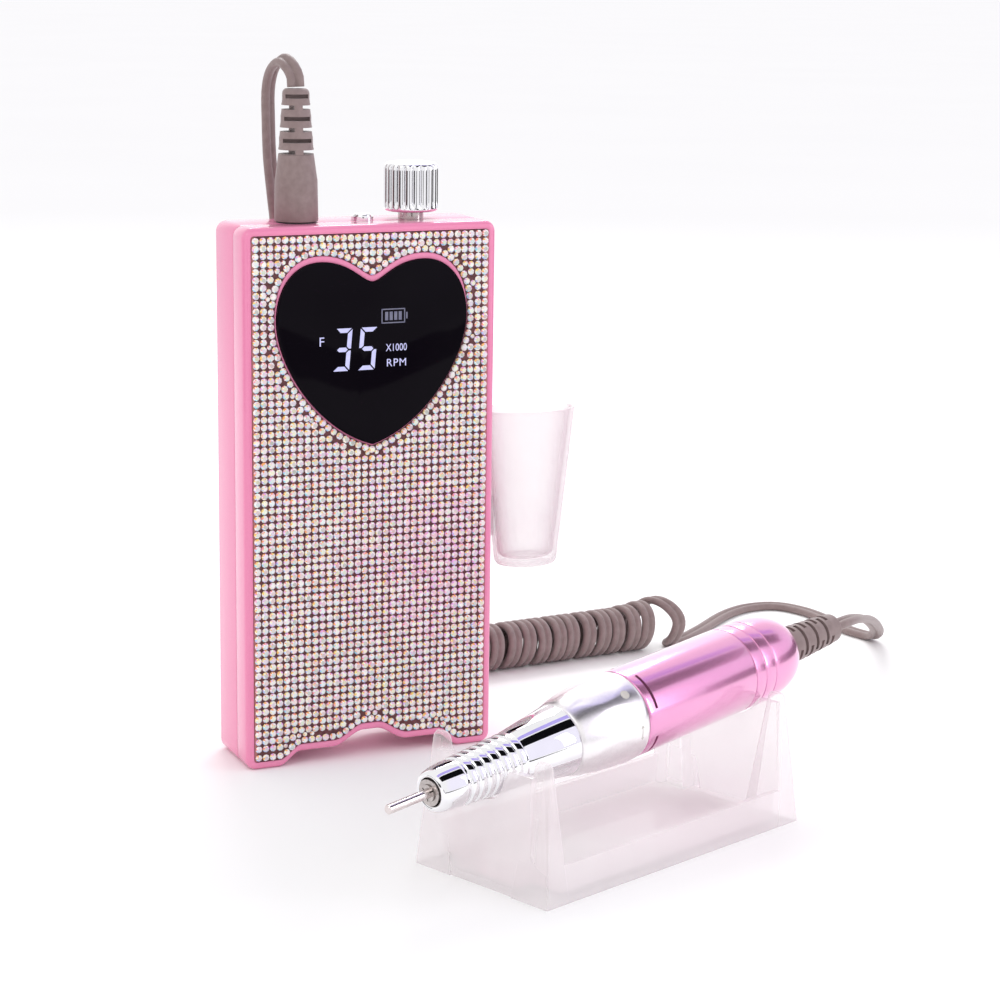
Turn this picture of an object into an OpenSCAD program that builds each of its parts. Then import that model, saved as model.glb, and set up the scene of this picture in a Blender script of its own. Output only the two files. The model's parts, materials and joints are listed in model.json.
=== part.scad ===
// Portable electric nail drill set: control unit with a heart display and a stone-set front,
// twist-lock handpiece on a clear cradle, clear clip-on cup and a coiled twin cord.
// Millimetres, +Z up. The origin is on the table, in the middle of the set's footprint without the cord.

/* [Control unit] */
// Width of the control unit
case_w = 73; // [71:0.5:75]
// Height of the case, without the knob
case_h = 149; // [148:0.5:151]
// Depth of the front shell
front_d = 8.5; // [8:0.1:9]
// Depth of the whole case
case_d = 24; // [23.5:0.1:25]
// Wall thickness of both shells
wall = 1.8; // [1.6:0.1:2]
// Corner radius of the case outline
corner_r = 3; // [2.5:0.1:3.5]
// Rise of the shaped bottom edge at its outer step
step_rise = 3.8; // [3:0.1:4.5]
// Extra rise of the bottom edge at the middle
arch_rise = 3.9; // [3:0.1:4.5]

/* [Front] */
// Margin between the case outline and the stone panel
panel_margin = 2.2; // [1.8:0.1:2.6]
// How far the stones stand out in front of the case
stone_proud = 0.7; // [0.4:0.1:1]
// Height of the widest line of the heart above the table
heart_z = 124; // [122:0.5:125]
// Width of the coloured rim at the sides and foot of the heart
bezel_w = 0.4; // [0.3:0.1:0.6]
// How much wider the rim is above the heart
rim_rise = 1.3; // [1:0.1:1.5]

/* [Controls] */
// Sideways place of the cord socket
socket_x = -17.3; // [-20:0.1:-15]
// Sideways place of the power button
button_x = 1.7; // [0:0.1:3]
// Sideways place of the speed knob
knob_x = 16; // [15:0.1:18]
// Radius of the speed knob
knob_r = 7.5; // [7:0.1:8]
// Number of flutes around the knob
flutes = 20; // [12:1:24]

/* [Cup] */
// Half width of the cup's rim, away from the case
cup_top_a = 14.6; // [14:0.1:15]
// Half depth of the cup's rim
cup_top_b = 8.4; // [8:0.1:9]
// Height of the cup's rim above the table
cup_top_z = 93.6; // [90:0.5:96]
// Height of the cup's underside above the table
cup_low_z = 48; // [46:0.5:49]
// Wall thickness of the cup
cup_wall = 1.3; // [1:0.1:1.6]

/* [Cradle] */
// Length of the cradle
cradle_l = 94; // [92:0.5:96]
// Width of the cradle at the table
cradle_w = 45; // [44:0.5:47]
// Height of the four corner posts
post_h = 34.5; // [33:0.5:36]
// Height of the low side walls
side_h = 9.5; // [8:0.5:11]
// Wall thickness of the cradle
cradle_t = 2; // [1.8:0.1:2.4]

/* [Handpiece] */
// Radius of the tool shank
shank_r = 1.175; // [1.15:0.005:1.18]
// Radius of the coloured housing
grip_r = 11.4; // [11.3:0.1:11.6]
// Nose-down tilt on the cradle, degrees
tilt = 4.7; // [4.5:0.1:5]
// Grooves around the nose
nose_grooves = 7; // [4:1:7]

/* [Cord] */
// Width of the flat twin cord
cord_w = 4.7; // [4.5:0.1:5]
// Outer diameter of the coil
coil_d = 14.8; // [14:0.1:15]

/* [Hidden] */
$fn = 48;

// Colours
shell_pink = [0.93, 0.55, 0.76];
taupe = [0.58, 0.5, 0.51];
clear_pink = [0.93, 0.88, 0.9];
chrome = [0.82, 0.82, 0.85];
steel = [0.6, 0.6, 0.63];
board_green = [0.1, 0.4, 0.25];
dark = [0.1, 0.1, 0.11];
copper = [0.8, 0.5, 0.3];

// Places in the common frame
case_at = [-37, 51, 0];
cradle_at = [-6, -36.8, 0];
cradle_turn = 20.7;
// Nose ring of the handpiece, along the cradle and above the table
nose_along = -64.4;
nose_z = 27.7;

// Case
half_w = case_w / 2;
top_in = case_h - wall;
controls_y = 12;
edge_steps = [[0, 1.3], [0.5, 0.5], [1.2, 0]];
step_at = 27;
step_run = 6.5;
arch_at = 11;
arch_run = 9;
wave_pitch = 1.5;
recess = 0.6;
gap = 0.1;
screw_x = 30;
screw_z = [9, 134];
socket_r = 4.4;
button_r = 2.6;
bushing_r = 3.5;
shaft_r = 2.9;

// Cup and its rail on the side of the case
cup_x = 53.3;
cup_y = 14;
cup_low_a = 9.5;
cup_low_b = 7.3;
cup_floor = 2.3;
rail_z = 56;
rail_h = 13;

// Handpiece stations along its axis, from the nose ring to the cord
nose_end = 43.3;
sleeve_end = 65.6;
cap_start = 107.4;
dome_start = 114;
dome_len = 17.9;
dome_power = 2.76;
cap_end = 131;
relief_end = 153.4;

// Cord routes, points chosen along the free stretches
plug_route = [[-54.3, 63, 185], [-54.4, 63.1, 187.4], [-54.9, 65.1, 190], [-55.6, 69, 191.8],
    [-56, 73, 191], [-56.3, 77, 188], [-56.5, 79, 183], [-56.3, 79.5, 175], [-55.8, 80, 165],
    [-54.7, 80.3, 155], [-53.6, 80.5, 145], [-52.8, 81, 128], [-52.3, 81.5, 110], [-52, 82, 90],
    [-51.4, 83, 70], [-50.8, 84, 48], [-50.3, 85.5, 30], [-49.6, 88, 17], [-48, 93, 8],
    [-45.5, 100, 3.5], [-42, 107, 2.4], [-38.5, 111.5, 2.4], [-35.3, 113, 2.4]];
lead_route = [[76.9, -5.4, 40.3], [81.5, -3.4, 40.6], [86, 0, 40.1], [91, 5.5, 38.6], [102, 19.5, 34.2],
    [115.5, 37, 28.4], [129.5, 55.5, 21.6], [143, 74, 14.4], [155, 91, 7.6], [159.6, 98.8, 4.4],
    [161.2, 105, 2.6], [159.8, 111, 2.4], [159, 118.5, 2.4], [159.4, 128, 2.4], [159.2, 135.5, 2.4],
    [158, 142.3, 2.4], [154.8, 149.2, 2.4], [149.5, 152.6, 2.4], [140.2, 152, 2.4], [128.9, 145.9, 2.4],
    [115, 134.5, 2.4], [105, 126.8, 2.4], [98, 123, 2.4], [91.5, 123.5, 2.4]];
coil_from = [-35, 113, 7.4];
coil_to = [91, 124.4, 7.4];

// Smooth step from 0 to 1
function smooth(t) = let(c = min(max(t, 0), 1)) c * c * (3 - 2 * c);
function wave(x) = step_rise * smooth((step_at - abs(x)) / step_run)
    + arch_rise * smooth((arch_at - abs(x)) / arch_run);
function arc(cx, cy, r, a0, a1, n = 6) =
    [for (i = [0:n]) let(a = a0 + (a1 - a0) * i / n) [cx + r * cos(a), cy + r * sin(a)]];
// Case outline in the XZ plane, set in by d
function outline(d) =
    let(cx = half_w - corner_r, r = max(corner_r - d, 0.4), run = cx - 1)
    concat(arc(-cx, corner_r, r, 180, 270),
           [for (i = [0:floor(2 * run / wave_pitch)])
                let(x = -run + i * wave_pitch) [x, wave(x) + corner_r - r]],
           arc(cx, corner_r, r, 270, 360),
           arc(cx, case_h - corner_r, r, 0, 90),
           arc(-cx, case_h - corner_r, r, 90, 180));
// Points of a cubic curve, without its last point
function curve(a, b, c, d, n) = [for (i = [0:n - 1]) let(t = i / n, u = 1 - t)
    u * u * u * a + 3 * u * u * t * b + 3 * u * t * t * c + t * t * t * d];
heart_half = concat(
    curve([0, 9.6], [3, 9.8], [6.5, 15.3], [14.9, 15.3], 8),
    curve([14.9, 15.3], [23.5, 15.3], [27.5, 7.5], [27.5, 0], 9),
    curve([27.5, 0], [27.5, -12], [16, -30], [0, -34.8], 12));
heart_line = concat(heart_half, [[0, -34.8]],
    [for (i = [len(heart_half) - 1:-1:1]) [-heart_half[i][0], heart_half[i][1]]]);
// Heart outline, grown by g along its normals
function heart(g) = let(n = len(heart_line)) [for (i = [0:n - 1])
    let(t = heart_line[(i + 1) % n] - heart_line[(i + n - 1) % n], s = g / norm(t))
    [heart_line[i][0] - t[1] * s, heart_line[i][1] + t[0] * s + heart_z]];
// Radius of the rounded rear end at station s
function dome_r(s) = grip_r * pow(1 - pow((s - dome_start) / dome_len, dome_power), 1 / dome_power);

module in_case() translate(case_at) children();
module in_cradle() translate(cradle_at) rotate([0, 0, cradle_turn]) children();
module on_axis() in_cradle() translate([nose_along, 0, nose_z]) rotate([0, 90 - tilt, 0]) children();
// Flat outline in the XZ plane, made solid from y0 to y1
module slab(y0, y1, points) translate([0, y1, 0]) rotate([90, 0, 0]) linear_extrude(y1 - y0)
    polygon(points);
// Heart grown by g, and wider above
module rim(y0, y1, g) for (up = [0, rim_rise / 2, rim_rise]) translate([0, 0, up]) slab(y0, y1, heart(g));
// Ring from z0 to z1
module ring(r, hole, z0, z1) translate([0, 0, z0]) difference() {
    cylinder(r = r, h = z1 - z0);
    translate([0, 0, -1]) cylinder(r = hole, h = z1 - z0 + 2);
}
module post(r, z0, z1) translate([0, 0, z0]) cylinder(r = r, h = z1 - z0);
module block(low, high) translate(low) cube(high - low);
module turned(points) rotate_extrude() polygon(points);

// --- control unit ---
module top_holes() {
    translate([socket_x, controls_y, 0]) post(socket_r + 0.1, top_in - 2, case_h + 1);
    translate([button_x, controls_y, 0]) post(button_r + 0.15, top_in - 2, case_h + 1);
    translate([knob_x, controls_y, 0]) post(bushing_r + 0.1, top_in - 2, case_h + 1);
}

module front_shell() color(shell_pink) in_case() difference() {
    union() {
        slab(edge_steps[0][0], edge_steps[1][0], outline(edge_steps[0][1]));
        slab(edge_steps[1][0], edge_steps[2][0], outline(edge_steps[1][1]));
        slab(edge_steps[2][0], front_d, outline(0));
    }
    slab(wall + recess, front_d + 1, outline(wall));
    slab(-1, recess, outline(panel_margin));
    rim(-1, front_d, bezel_w + gap);
    top_holes();
}

module rear_shell() color(shell_pink) in_case() difference() {
    union() {
        difference() {
            union() {
                slab(front_d + gap, case_d - edge_steps[2][0], outline(0));
                slab(case_d - edge_steps[2][0], case_d - edge_steps[1][0], outline(edge_steps[1][1]));
                slab(case_d - edge_steps[1][0], case_d, outline(edge_steps[0][1]));
            }
            slab(front_d - 1, case_d - wall, outline(wall));
        }
        for (x = [-screw_x, screw_x], z = screw_z)
            translate([x, case_d - 1, z]) rotate([90, 0, 0]) cylinder(r = 3.2, h = case_d - front_d - 1.2);
    }
    top_holes();
    for (x = [-screw_x, screw_x], z = screw_z) translate([x, 0, z]) rotate([-90, 0, 0]) {
        post(1.3, front_d, case_d + 1);
        post(2.6, case_d - 1.6, case_d + 1);
    }
    block([half_w - 3, 11.4, 21.8], [half_w + 1, 20.6, 25.2]);
}

module stone_panel() color([0.9, 0.86, 0.82]) in_case() difference() {
    slab(-stone_proud, recess, outline(panel_margin + gap));
    rim(-2, 2, bezel_w + gap);
}

module display_bezel() color(shell_pink) in_case() difference() {
    rim(-0.2, wall + recess, bezel_w);
    slab(-2, 4, heart(gap));
}

module display_lens() color(dark) in_case() slab(-1.1, 1.6, heart(0));

module display_module() color([0.2, 0.22, 0.25]) in_case() {
    block([-21, 2.6, 96], [21, 5, 135]);
    block([-23, 5, 94], [23, 6.4, 135.8]);
}

module main_board() in_case() {
    color(board_green) block([-31, 8.2, 84], [31, 9.8, 128]);
    color(dark) block([-8, 9.8, 100], [6, 11.4, 112]);
    color(steel) block([12, 9.8, 96], [22, 14.6, 106]);
    color(dark) block([-26, 9.8, 88], [-14, 15.8, 95]);
}

module control_board() in_case() color(board_green) block([-10.5, 4, 136.4], [26, 20, 138]);

module battery(x) in_case() translate([x, 12.4, 0]) {
    color([0.25, 0.45, 0.75]) post(9.15, 14, 78);
    color(steel) post(3, 78, 79.2);
}
module battery_left() battery(-10.5);
module battery_right() battery(10.5);

module battery_tray() color(dark) in_case() {
    block([-22, 4, 12], [22, 21, 13.9]);
    block([-22, 4, 79.4], [22, 21, 81]);
    block([-22, 4, 13.9], [-20.2, 21, 79.4]);
    block([20.2, 4, 13.9], [22, 21, 79.4]);
}

module charge_port() color(steel) in_case() {
    difference() {
        block([half_w - 7.4, 11.5, 21.9], [half_w, 20.5, 25.1]);
        block([half_w - 6.4, 11.9, 22.3], [half_w + 1, 20.1, 24.7]);
    }
    block([half_w - 6.6, 12.9, 23.2], [half_w - 1.2, 19.1, 23.8]);
}

module jack_socket() color(dark) in_case() translate([socket_x, controls_y, 0]) difference() {
    union() {
        post(socket_r, 133, case_h + 0.2);
        post(6, top_in - 3, top_in - gap);
    }
    post(1.8, 134, case_h + 3);
}

module jack_collar() color(dark) in_case() translate([socket_x, controls_y, 0])
    ring(5.4, socket_r + 0.05, case_h, case_h + 0.3);

module button_collar() color(chrome) in_case() translate([button_x, controls_y, 0])
    ring(3.15, button_r + 0.06, case_h, case_h + 1.1);

module button_switch() color(dark) in_case() translate([button_x, controls_y, 0]) {
    block([-3, -3, 138.1], [3, 3, 145.6]);
    post(1.6, 145.6, 146.4);
}

module power_button() color(chrome) in_case() translate([button_x, controls_y, 0])
    turned(concat([[0, top_in - 0.1], [button_r, top_in - 0.1]],
        arc(button_r - 0.8, case_h + 1.1, 0.8, 0, 80), [[0, case_h + 2.1]]));

module pot_body() color(steel) in_case() translate([knob_x, controls_y, 0]) difference() {
    post(7.9, 138.1, 145.4);
    post(shaft_r + 0.06, 142, 147);
}

module pot_bushing() color(steel) in_case() translate([knob_x, controls_y, 0])
    ring(bushing_r, shaft_r + 0.06, 145.5, case_h + 1.9);

module pot_nut() color(chrome) in_case() translate([knob_x, controls_y, 0]) difference() {
    translate([0, 0, 145.6]) cylinder(r = 5.2, h = 1.5, $fn = 6);
    post(bushing_r + 0.04, 145, 148);
}

module pot_shaft() color(steel) in_case() translate([knob_x, controls_y, 0]) post(shaft_r, 142.5, 160);

module speed_knob() color(chrome) in_case() translate([knob_x, controls_y, case_h + 2.2]) difference() {
    turned(concat([[0, 0], [knob_r - 0.6, 0], [knob_r, 0.6], [knob_r, 11.6]],
        arc(knob_r - 1.2, 11.6, 1.2, 0, 70), [[3, 13.5], [0, 13.8]]));
    translate([0, 0, -1]) cylinder(r = shaft_r + 0.03, h = 10);
    for (i = [0:flutes - 1]) rotate([0, 0, i * 360 / flutes])
        translate([knob_r + 0.35, 0, 1.2]) cylinder(r = 0.85, h = 13, $fn = 24);
}

module case_screws() color(steel) in_case() for (x = [-screw_x, screw_x], z = screw_z)
    translate([x, 0, z]) rotate([-90, 0, 0]) {
        post(1.25, 10.5, case_d - 1.5);
        difference() {
            post(2.5, case_d - 1.5, case_d - 0.2);
            for (a = [0, 90]) rotate([0, 0, a]) block([-1.6, -0.3, case_d - 0.8], [1.6, 0.3, case_d]);
        }
    }

// --- cup and its rail ---
module cup_rail() color(shell_pink) in_case() translate([half_w, cup_y, rail_z]) difference() {
    block([0, -5, 0], [2.8, 5, rail_h]);
    block([0.4, -3.6, 1.4], [1.8, 3.6, rail_h + 1]);
    block([1, -2.4, 1.4], [4, 2.4, rail_h + 1]);
}

// Oval disc, one slice of the cup
module oval(a, b, z) translate([0, 0, z]) linear_extrude(0.05) scale([a, b]) circle(r = 1, $fn = 48);

module cup_holder() color(clear_pink) in_case() difference() {
    union() {
        translate([cup_x, cup_y, 0]) hull() {
            oval(cup_low_a - 1.4, cup_low_b - 1.4, cup_low_z);
            oval(cup_low_a, cup_low_b, cup_low_z + 1.6);
            oval(cup_top_a, cup_top_b, cup_top_z - 0.05);
        }
        translate([half_w, cup_y, rail_z]) {
            block([0.55, -3.4, 1.6], [1.65, 3.4, rail_h]);
            block([1.6, -2.2, 1.6], [7.5, 2.2, rail_h]);
        }
    }
    translate([cup_x, cup_y, 0]) hull() {
        oval(cup_low_a - cup_wall - 0.6, cup_low_b - cup_wall - 0.6, cup_low_z + cup_floor);
        oval(cup_low_a - cup_wall + 0.2, cup_low_b - cup_wall + 0.1, cup_low_z + cup_floor + 1.2);
        oval(cup_top_a - cup_wall + 0.2, cup_top_b - cup_wall, cup_top_z + 0.5);
    }
}

// --- cradle, long way along its own X ---
half_l = cradle_l / 2;
half_cw = cradle_w / 2;
post_l = 7.4;
post_in = 10.5;
lean = 2.2;
front_saddle = [29.25, 7.05];
rear_saddle = [36.75, 11.75];

module cradle_post(sx, sy) scale_side(sx, sy) hull() {
    block([half_l - post_l, post_in, 0], [half_l, half_cw, 1]);
    for (x = [half_l - 3.6, half_l - lean - 1.4], y = [half_cw - 6.2, half_cw - lean - 2])
        translate([x, y, 0]) {
            post(1.4, 1, post_h - 1);
            post(0.7, post_h - 1, post_h);
        }
}
module scale_side(sx, sy) mirror([sx < 0 ? 1 : 0, 0, 0]) mirror([0, sy < 0 ? 1 : 0, 0]) children();

// Space that a saddle leaves for the handpiece: [height of its axis, radius]
module saddle(x0, x1, s) translate([x0, 0, 0]) rotate([90, 0, 90]) linear_extrude(x1 - x0)
    polygon(concat(arc(0, s[0], s[1], -170, -10, 20), [[s[1] + 4.6, post_h + 1], [-s[1] - 4.6, post_h + 1]]));

module cradle() color(clear_pink) in_cradle() difference() {
    union() {
        for (sy = [-1, 1]) scale_side(1, sy) translate([half_l - 1, 0, 0]) rotate([90, 0, -90])
            linear_extrude(cradle_l - 2)
            polygon([[-half_cw, 0], [-half_cw + cradle_t, 0], [-half_cw + cradle_t + 0.6, side_h],
                     [-half_cw + 0.8, side_h]]);
        for (sx = [-1, 1]) scale_side(sx, 1) translate([half_l - cradle_t - 0.6, 0, 0])
            rotate([90, 0, 90]) linear_extrude(cradle_t)
            polygon([[-16, 0], [16, 0], [16, 31], [-16, 31]]);
        for (sx = [-1, 1], sy = [-1, 1]) cradle_post(sx, sy);
        block([-half_l + 0.5, -half_cw + 0.5, 0], [half_l - 0.5, half_cw - 0.5, cradle_t]);
    }
    saddle(-half_l - 1, -half_l + 12, front_saddle);
    saddle(half_l - 12, half_l + 1, rear_saddle);
}

// --- handpiece, stations along its own axis ---
module nose_cone() color(chrome) on_axis() turned(concat(
    [[3.55, 0.6], [4.3, 0.3], [5.2, 1.6], [5.6, 3.4], [5.9, 7.4]],
    [for (i = [0:nose_grooves - 1], k = [0:3]) let(s = 8.4 + i * 2.6, r = 6 + i * 0.14)
        [r + [0, -0.35, -0.35, 0.1][k], s + [0, 0.15, 0.55, 0.7][k]]],
    [[7.1, 27.4], [9.05, nose_end], [5.13, nose_end], [5.13, 8.4], [3.55, 8.4]]));

module spindle_housing() color(steel) on_axis() {
    ring(5.1, 4.53, 9, 56);
    ring(8.6, 4.53, 56, 60);
}

module mount_ring() color(chrome) on_axis() {
    ring(9.95, 8.65, 56, 65.7);
    ring(10.15, 8.65, 65.7, 67.6);
}

module bearing(s) color(chrome) on_axis() difference() {
    ring(4.5, 3, s, s + 3.5);
    for (z = [s - 0.1, s + 3.2]) ring(4, 3.5, z, z + 0.4);
}
module bearing_front() bearing(10);
module bearing_rear() bearing(37);

module handpiece_housing() color(shell_pink) on_axis() difference() {
    ring(grip_r, 10.2, 65.8, cap_start - gap);
    for (i = [0:3]) rotate([0, 0, 20 + 90 * i]) translate([0, 0, 68.3])
        rotate_extrude(angle = 52) translate([9.5, 0]) square([3, 0.9]);
}

module rear_cap() color(shell_pink) on_axis() turned(concat(
    [[grip_r, cap_start], [grip_r, 111.1], [grip_r - 0.25, 111.3], [grip_r, 111.5]],
    [for (i = [0:18]) let(s = dome_start + (cap_end - dome_start) * sin(i * 5)) [dome_r(s), s]],
    [[3.95, cap_end], [3.95, 125.5], [6.5, 125.5], [9, 122], [10.2, 116.5], [10.2, cap_start]]));

module motor_can() color(steel) on_axis() difference() {
    post(10.1, 73, 110);
    post(9.4, 74.5, 111);
    post(1.06, 72, 80);
}

module motor_magnets() color(dark) on_axis() for (a = [0, 180]) rotate([0, 0, a])
    translate([0, 0, 79]) rotate_extrude(angle = 130) translate([7.7, 0]) square([1.6, 24]);

module motor_end_cap() color(dark) on_axis() difference() {
    ring(9.36, 1.06, 107.6, 111.6);
    ring(8.4, 3.6, 106, 109);
}

module motor_brushes() color(copper) on_axis() for (a = [0, 180]) rotate([0, 0, a])
    block([2.75, -0.9, 103.6], [6.4, 0.9, 106.4]);

// Strain relief along z: radii r0 to r1 from z0 to z1, with slots cut from alternate sides
// Strain relief with slots from alternate sides, and a plain end
module slotted_boot(r0, r1, z0, z1, slots, plain) difference() {
    turned([[0, z0], [r0, z0], [r1, z1 - 0.6], [r1 - 0.5, z1], [0, z1]]);
    for (i = [0:slots - 1]) let(z = z0 + (z1 - z0 - plain) * (i + 0.5) / slots)
        rotate([0, 0, 90 * (i % 2)]) for (s = [-1, 1])
            translate([0, s * (2.1 + 2.5), z]) cube([2 * r1 + 0.2, 5, 1.1], center = true);
}

module handpiece_relief() color(taupe) on_axis() union() {
    slotted_boot(5.2, 3.9, cap_end + gap, relief_end, 7, 3.2);
    post(3.9, 125.6, cap_end + 0.2);
}

module lock_sleeve() color(chrome) on_axis() turned([
    [9.15, 43.5], [9.6, 45.2], [10.3, 48.2], [10.85, 51.4], [11.25, 55], [11.5, 59],
    [11.55, 62.5], [11.5, sleeve_end], [10, sleeve_end], [10, 55.8], [8.6, 55.8], [8.6, 45.5],
    [5.16, 45.5], [5.16, 43.5]]);

module cam_ring() color(steel) on_axis() difference() {
    ring(8.57, 5.2, 46, 51);
    for (a = [0, 180]) rotate([0, 0, a]) translate([0, 0, 49.4])
        rotate_extrude(angle = 70) translate([4.8, 0]) square([2.2, 3]);
}

module spindle() color(steel) on_axis() difference() {
    union() {
        post(3.3, 0, 1.9);
        post(2.95, 1.8, 54);
    }
    post(2.15, -1, 40);
}

module drive_coupling() color([0.85, 0.85, 0.8]) on_axis() difference() {
    post(4.2, 51.5, 64);
    post(2.97, 51, 54.05);
    post(1.02, 54, 65);
}

module rotor() color([0.45, 0.4, 0.38]) on_axis() difference() {
    ring(7.2, 1.02, 81, 101);
    for (i = [0:4]) rotate([0, 0, 72 * i]) {
        block([5, -0.7, 80], [8, 0.7, 102]);
        block([3, -1.7, 80], [5.4, 1.7, 102]);
    }
}

module rotor_shaft() color(steel) on_axis() post(1, 56, 110.5);

module commutator() color(copper) on_axis() difference() {
    ring(2.6, 1.02, 102.4, 107);
    for (i = [0:4]) rotate([0, 0, 36 + 72 * i]) block([1.9, -0.15, 102], [3, 0.15, 108]);
}

module collet_spring() color(chrome) on_axis() for (i = [0:6])
    ring(2.1, 1.3, 24 + i * 1.5, 24.7 + i * 1.5);

module collet() color(steel) on_axis() difference() {
    union() {
        post(2.1, -0.4, 22);
        post(0.9, 20, 23.8);
    }
    post(shank_r + 0.025, -1, 18.5);
    for (i = [0:2]) rotate([0, 0, 120 * i]) block([0.6, -0.15, -1], [3, 0.15, 14]);
}

module bit_pin() color(steel) on_axis()
    turned([[0, -13.2], [shank_r - 0.25, -13.2], [shank_r, -12.9], [shank_r, -1.5],
        [shank_r - 0.35, -1.4], [shank_r - 0.35, -0.4], [shank_r, -0.3], [shank_r, 18], [0, 18]]);

// --- cord, its plug and its coil ---
module plug_body() color(taupe) in_case() translate([socket_x, controls_y, 0]) turned([
    [1.78, 149.4], [5.95, 149.4], [5.75, 160.4], [5.6, 161.2], [4.95, 166], [4.8, 167.2],
    [2.53, 167.2], [2.53, 159], [0, 159], [0, 154.1], [1.78, 154.1]]);

module plug_boot() color(taupe) in_case() translate([socket_x, controls_y, 0]) {
    slotted_boot(4.7, 3.4, 167.3, 184.6, 6, 1.2);
    post(2.5, 159.2, 167.4);
}

module plug_pin() color(chrome) in_case() translate([socket_x, controls_y, 0])
    turned([[0, 136.6], [1, 136.6], [1.75, 137.6], [1.75, 154], [0, 154]]);

function unit(v) = v / norm(v);
function tangent(p, i) = unit(p[min(i + 1, len(p) - 1)] - p[max(i - 1, 0)]);
function carry(n, t) = unit(n - (n * t) * t);
// Normals carried along route p without twist, starting from n
function normals(p, n, i = 0) = i >= len(p) ? []
    : let(m = carry(n, tangent(p, i))) concat([m], normals(p, m, i + 1));

// Tube of radius r along route p
module tube(p, r, start, sides = 10) {
    ns = normals(p, start);
    last = len(p) - 1;
    points = [for (i = [0:last], k = [0:sides - 1])
        p[i] + r * (cos(k * 360 / sides) * ns[i] + sin(k * 360 / sides) * cross(tangent(p, i), ns[i]))];
    walls = [for (i = [0:last - 1], k = [0:sides - 1])
        let(a = i * sides + k, b = i * sides + (k + 1) % sides)
        each [[a, a + sides, b + sides], [a, b + sides, b]]];
    ends = [[for (k = [0:sides - 1]) k], [for (k = [sides - 1:-1:0]) last * sides + k]];
    polyhedron(points, concat(walls, ends));
}

module plug_lead() color(taupe) tube(plug_route, cord_w / 2, [1, 0, 0]);
module handpiece_lead() color(taupe) tube(lead_route, cord_w / 2, [0, 0, 1]);

module cord_coil() color(taupe) let(v = coil_to - coil_from) translate(coil_from)
    rotate([0, 90, atan2(v[1], v[0])]) cylinder(r = coil_d / 2, h = norm(v));

front_shell();
rear_shell();
stone_panel();
display_bezel();
display_lens();
display_module();
main_board();
control_board();
battery_left();
battery_right();
battery_tray();
charge_port();
jack_socket();
jack_collar();
button_collar();
button_switch();
power_button();
pot_body();
pot_bushing();
pot_nut();
pot_shaft();
speed_knob();
case_screws();
cup_rail();
cup_holder();
cradle();
nose_cone();
spindle_housing();
mount_ring();
bearing_front();
bearing_rear();
handpiece_housing();
rear_cap();
motor_can();
motor_magnets();
motor_brushes();
motor_end_cap();
handpiece_relief();
lock_sleeve();
cam_ring();
spindle();
drive_coupling();
rotor();
rotor_shaft();
commutator();
collet_spring();
collet();
bit_pin();
plug_body();
plug_boot();
plug_pin();
plug_lead();
cord_coil();
handpiece_lead();
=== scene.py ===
import json
import math
import random

import bmesh
import bpy
from mathutils import Matrix, Vector

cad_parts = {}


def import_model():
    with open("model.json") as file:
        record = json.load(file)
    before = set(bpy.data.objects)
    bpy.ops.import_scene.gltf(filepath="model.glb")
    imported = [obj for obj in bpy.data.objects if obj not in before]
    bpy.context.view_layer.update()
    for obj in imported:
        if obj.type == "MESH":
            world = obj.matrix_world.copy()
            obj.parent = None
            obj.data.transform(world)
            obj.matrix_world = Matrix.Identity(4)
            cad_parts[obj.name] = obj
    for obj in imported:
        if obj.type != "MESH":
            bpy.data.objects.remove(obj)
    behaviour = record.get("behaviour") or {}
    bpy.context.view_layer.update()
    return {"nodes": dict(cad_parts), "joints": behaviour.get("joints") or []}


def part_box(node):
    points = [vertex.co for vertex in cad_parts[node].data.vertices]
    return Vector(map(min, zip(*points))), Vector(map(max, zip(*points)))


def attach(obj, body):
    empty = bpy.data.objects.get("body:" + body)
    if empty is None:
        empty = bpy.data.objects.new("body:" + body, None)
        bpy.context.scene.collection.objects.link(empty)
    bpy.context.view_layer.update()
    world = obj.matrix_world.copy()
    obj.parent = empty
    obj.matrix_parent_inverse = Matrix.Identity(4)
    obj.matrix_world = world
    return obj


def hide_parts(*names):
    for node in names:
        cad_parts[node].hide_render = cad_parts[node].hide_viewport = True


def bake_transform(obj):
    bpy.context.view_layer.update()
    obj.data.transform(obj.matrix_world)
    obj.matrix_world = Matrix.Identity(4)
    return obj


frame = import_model()

MM = 0.001
TAU = 2 * math.pi
random.seed(7)


# ---------------------------------------------------------------- places in the frame
def joint(name):
    return next(j for j in frame["joints"] if j["name"] == name)


front_lo, front_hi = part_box("front_shell")
CASE = Vector(((front_lo.x + front_hi.x) / 2, front_lo.y, 0))
cradle_lo, cradle_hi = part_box("cradle")
axis_dir = Vector(joint("sleeve_twist")["axis"])
SLEEVE_STATION = 55 * MM
ring_point = Vector(joint("sleeve_twist")["pos_m"]) - axis_dir * SLEEVE_STATION
yaw = math.atan2(axis_dir.y, axis_dir.x)
tilt = math.asin(axis_dir.z)
IN_CASE = Matrix.Translation(CASE)
IN_CRADLE = Matrix.Translation(Vector(((cradle_lo.x + cradle_hi.x) / 2, (cradle_lo.y + cradle_hi.y) / 2, 0))) \
    @ Matrix.Rotation(yaw, 4, "Z")
ON_AXIS = Matrix.Translation(ring_point) @ Matrix.Rotation(yaw, 4, "Z") \
    @ Matrix.Rotation(math.pi / 2 - tilt, 4, "Y")


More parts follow.
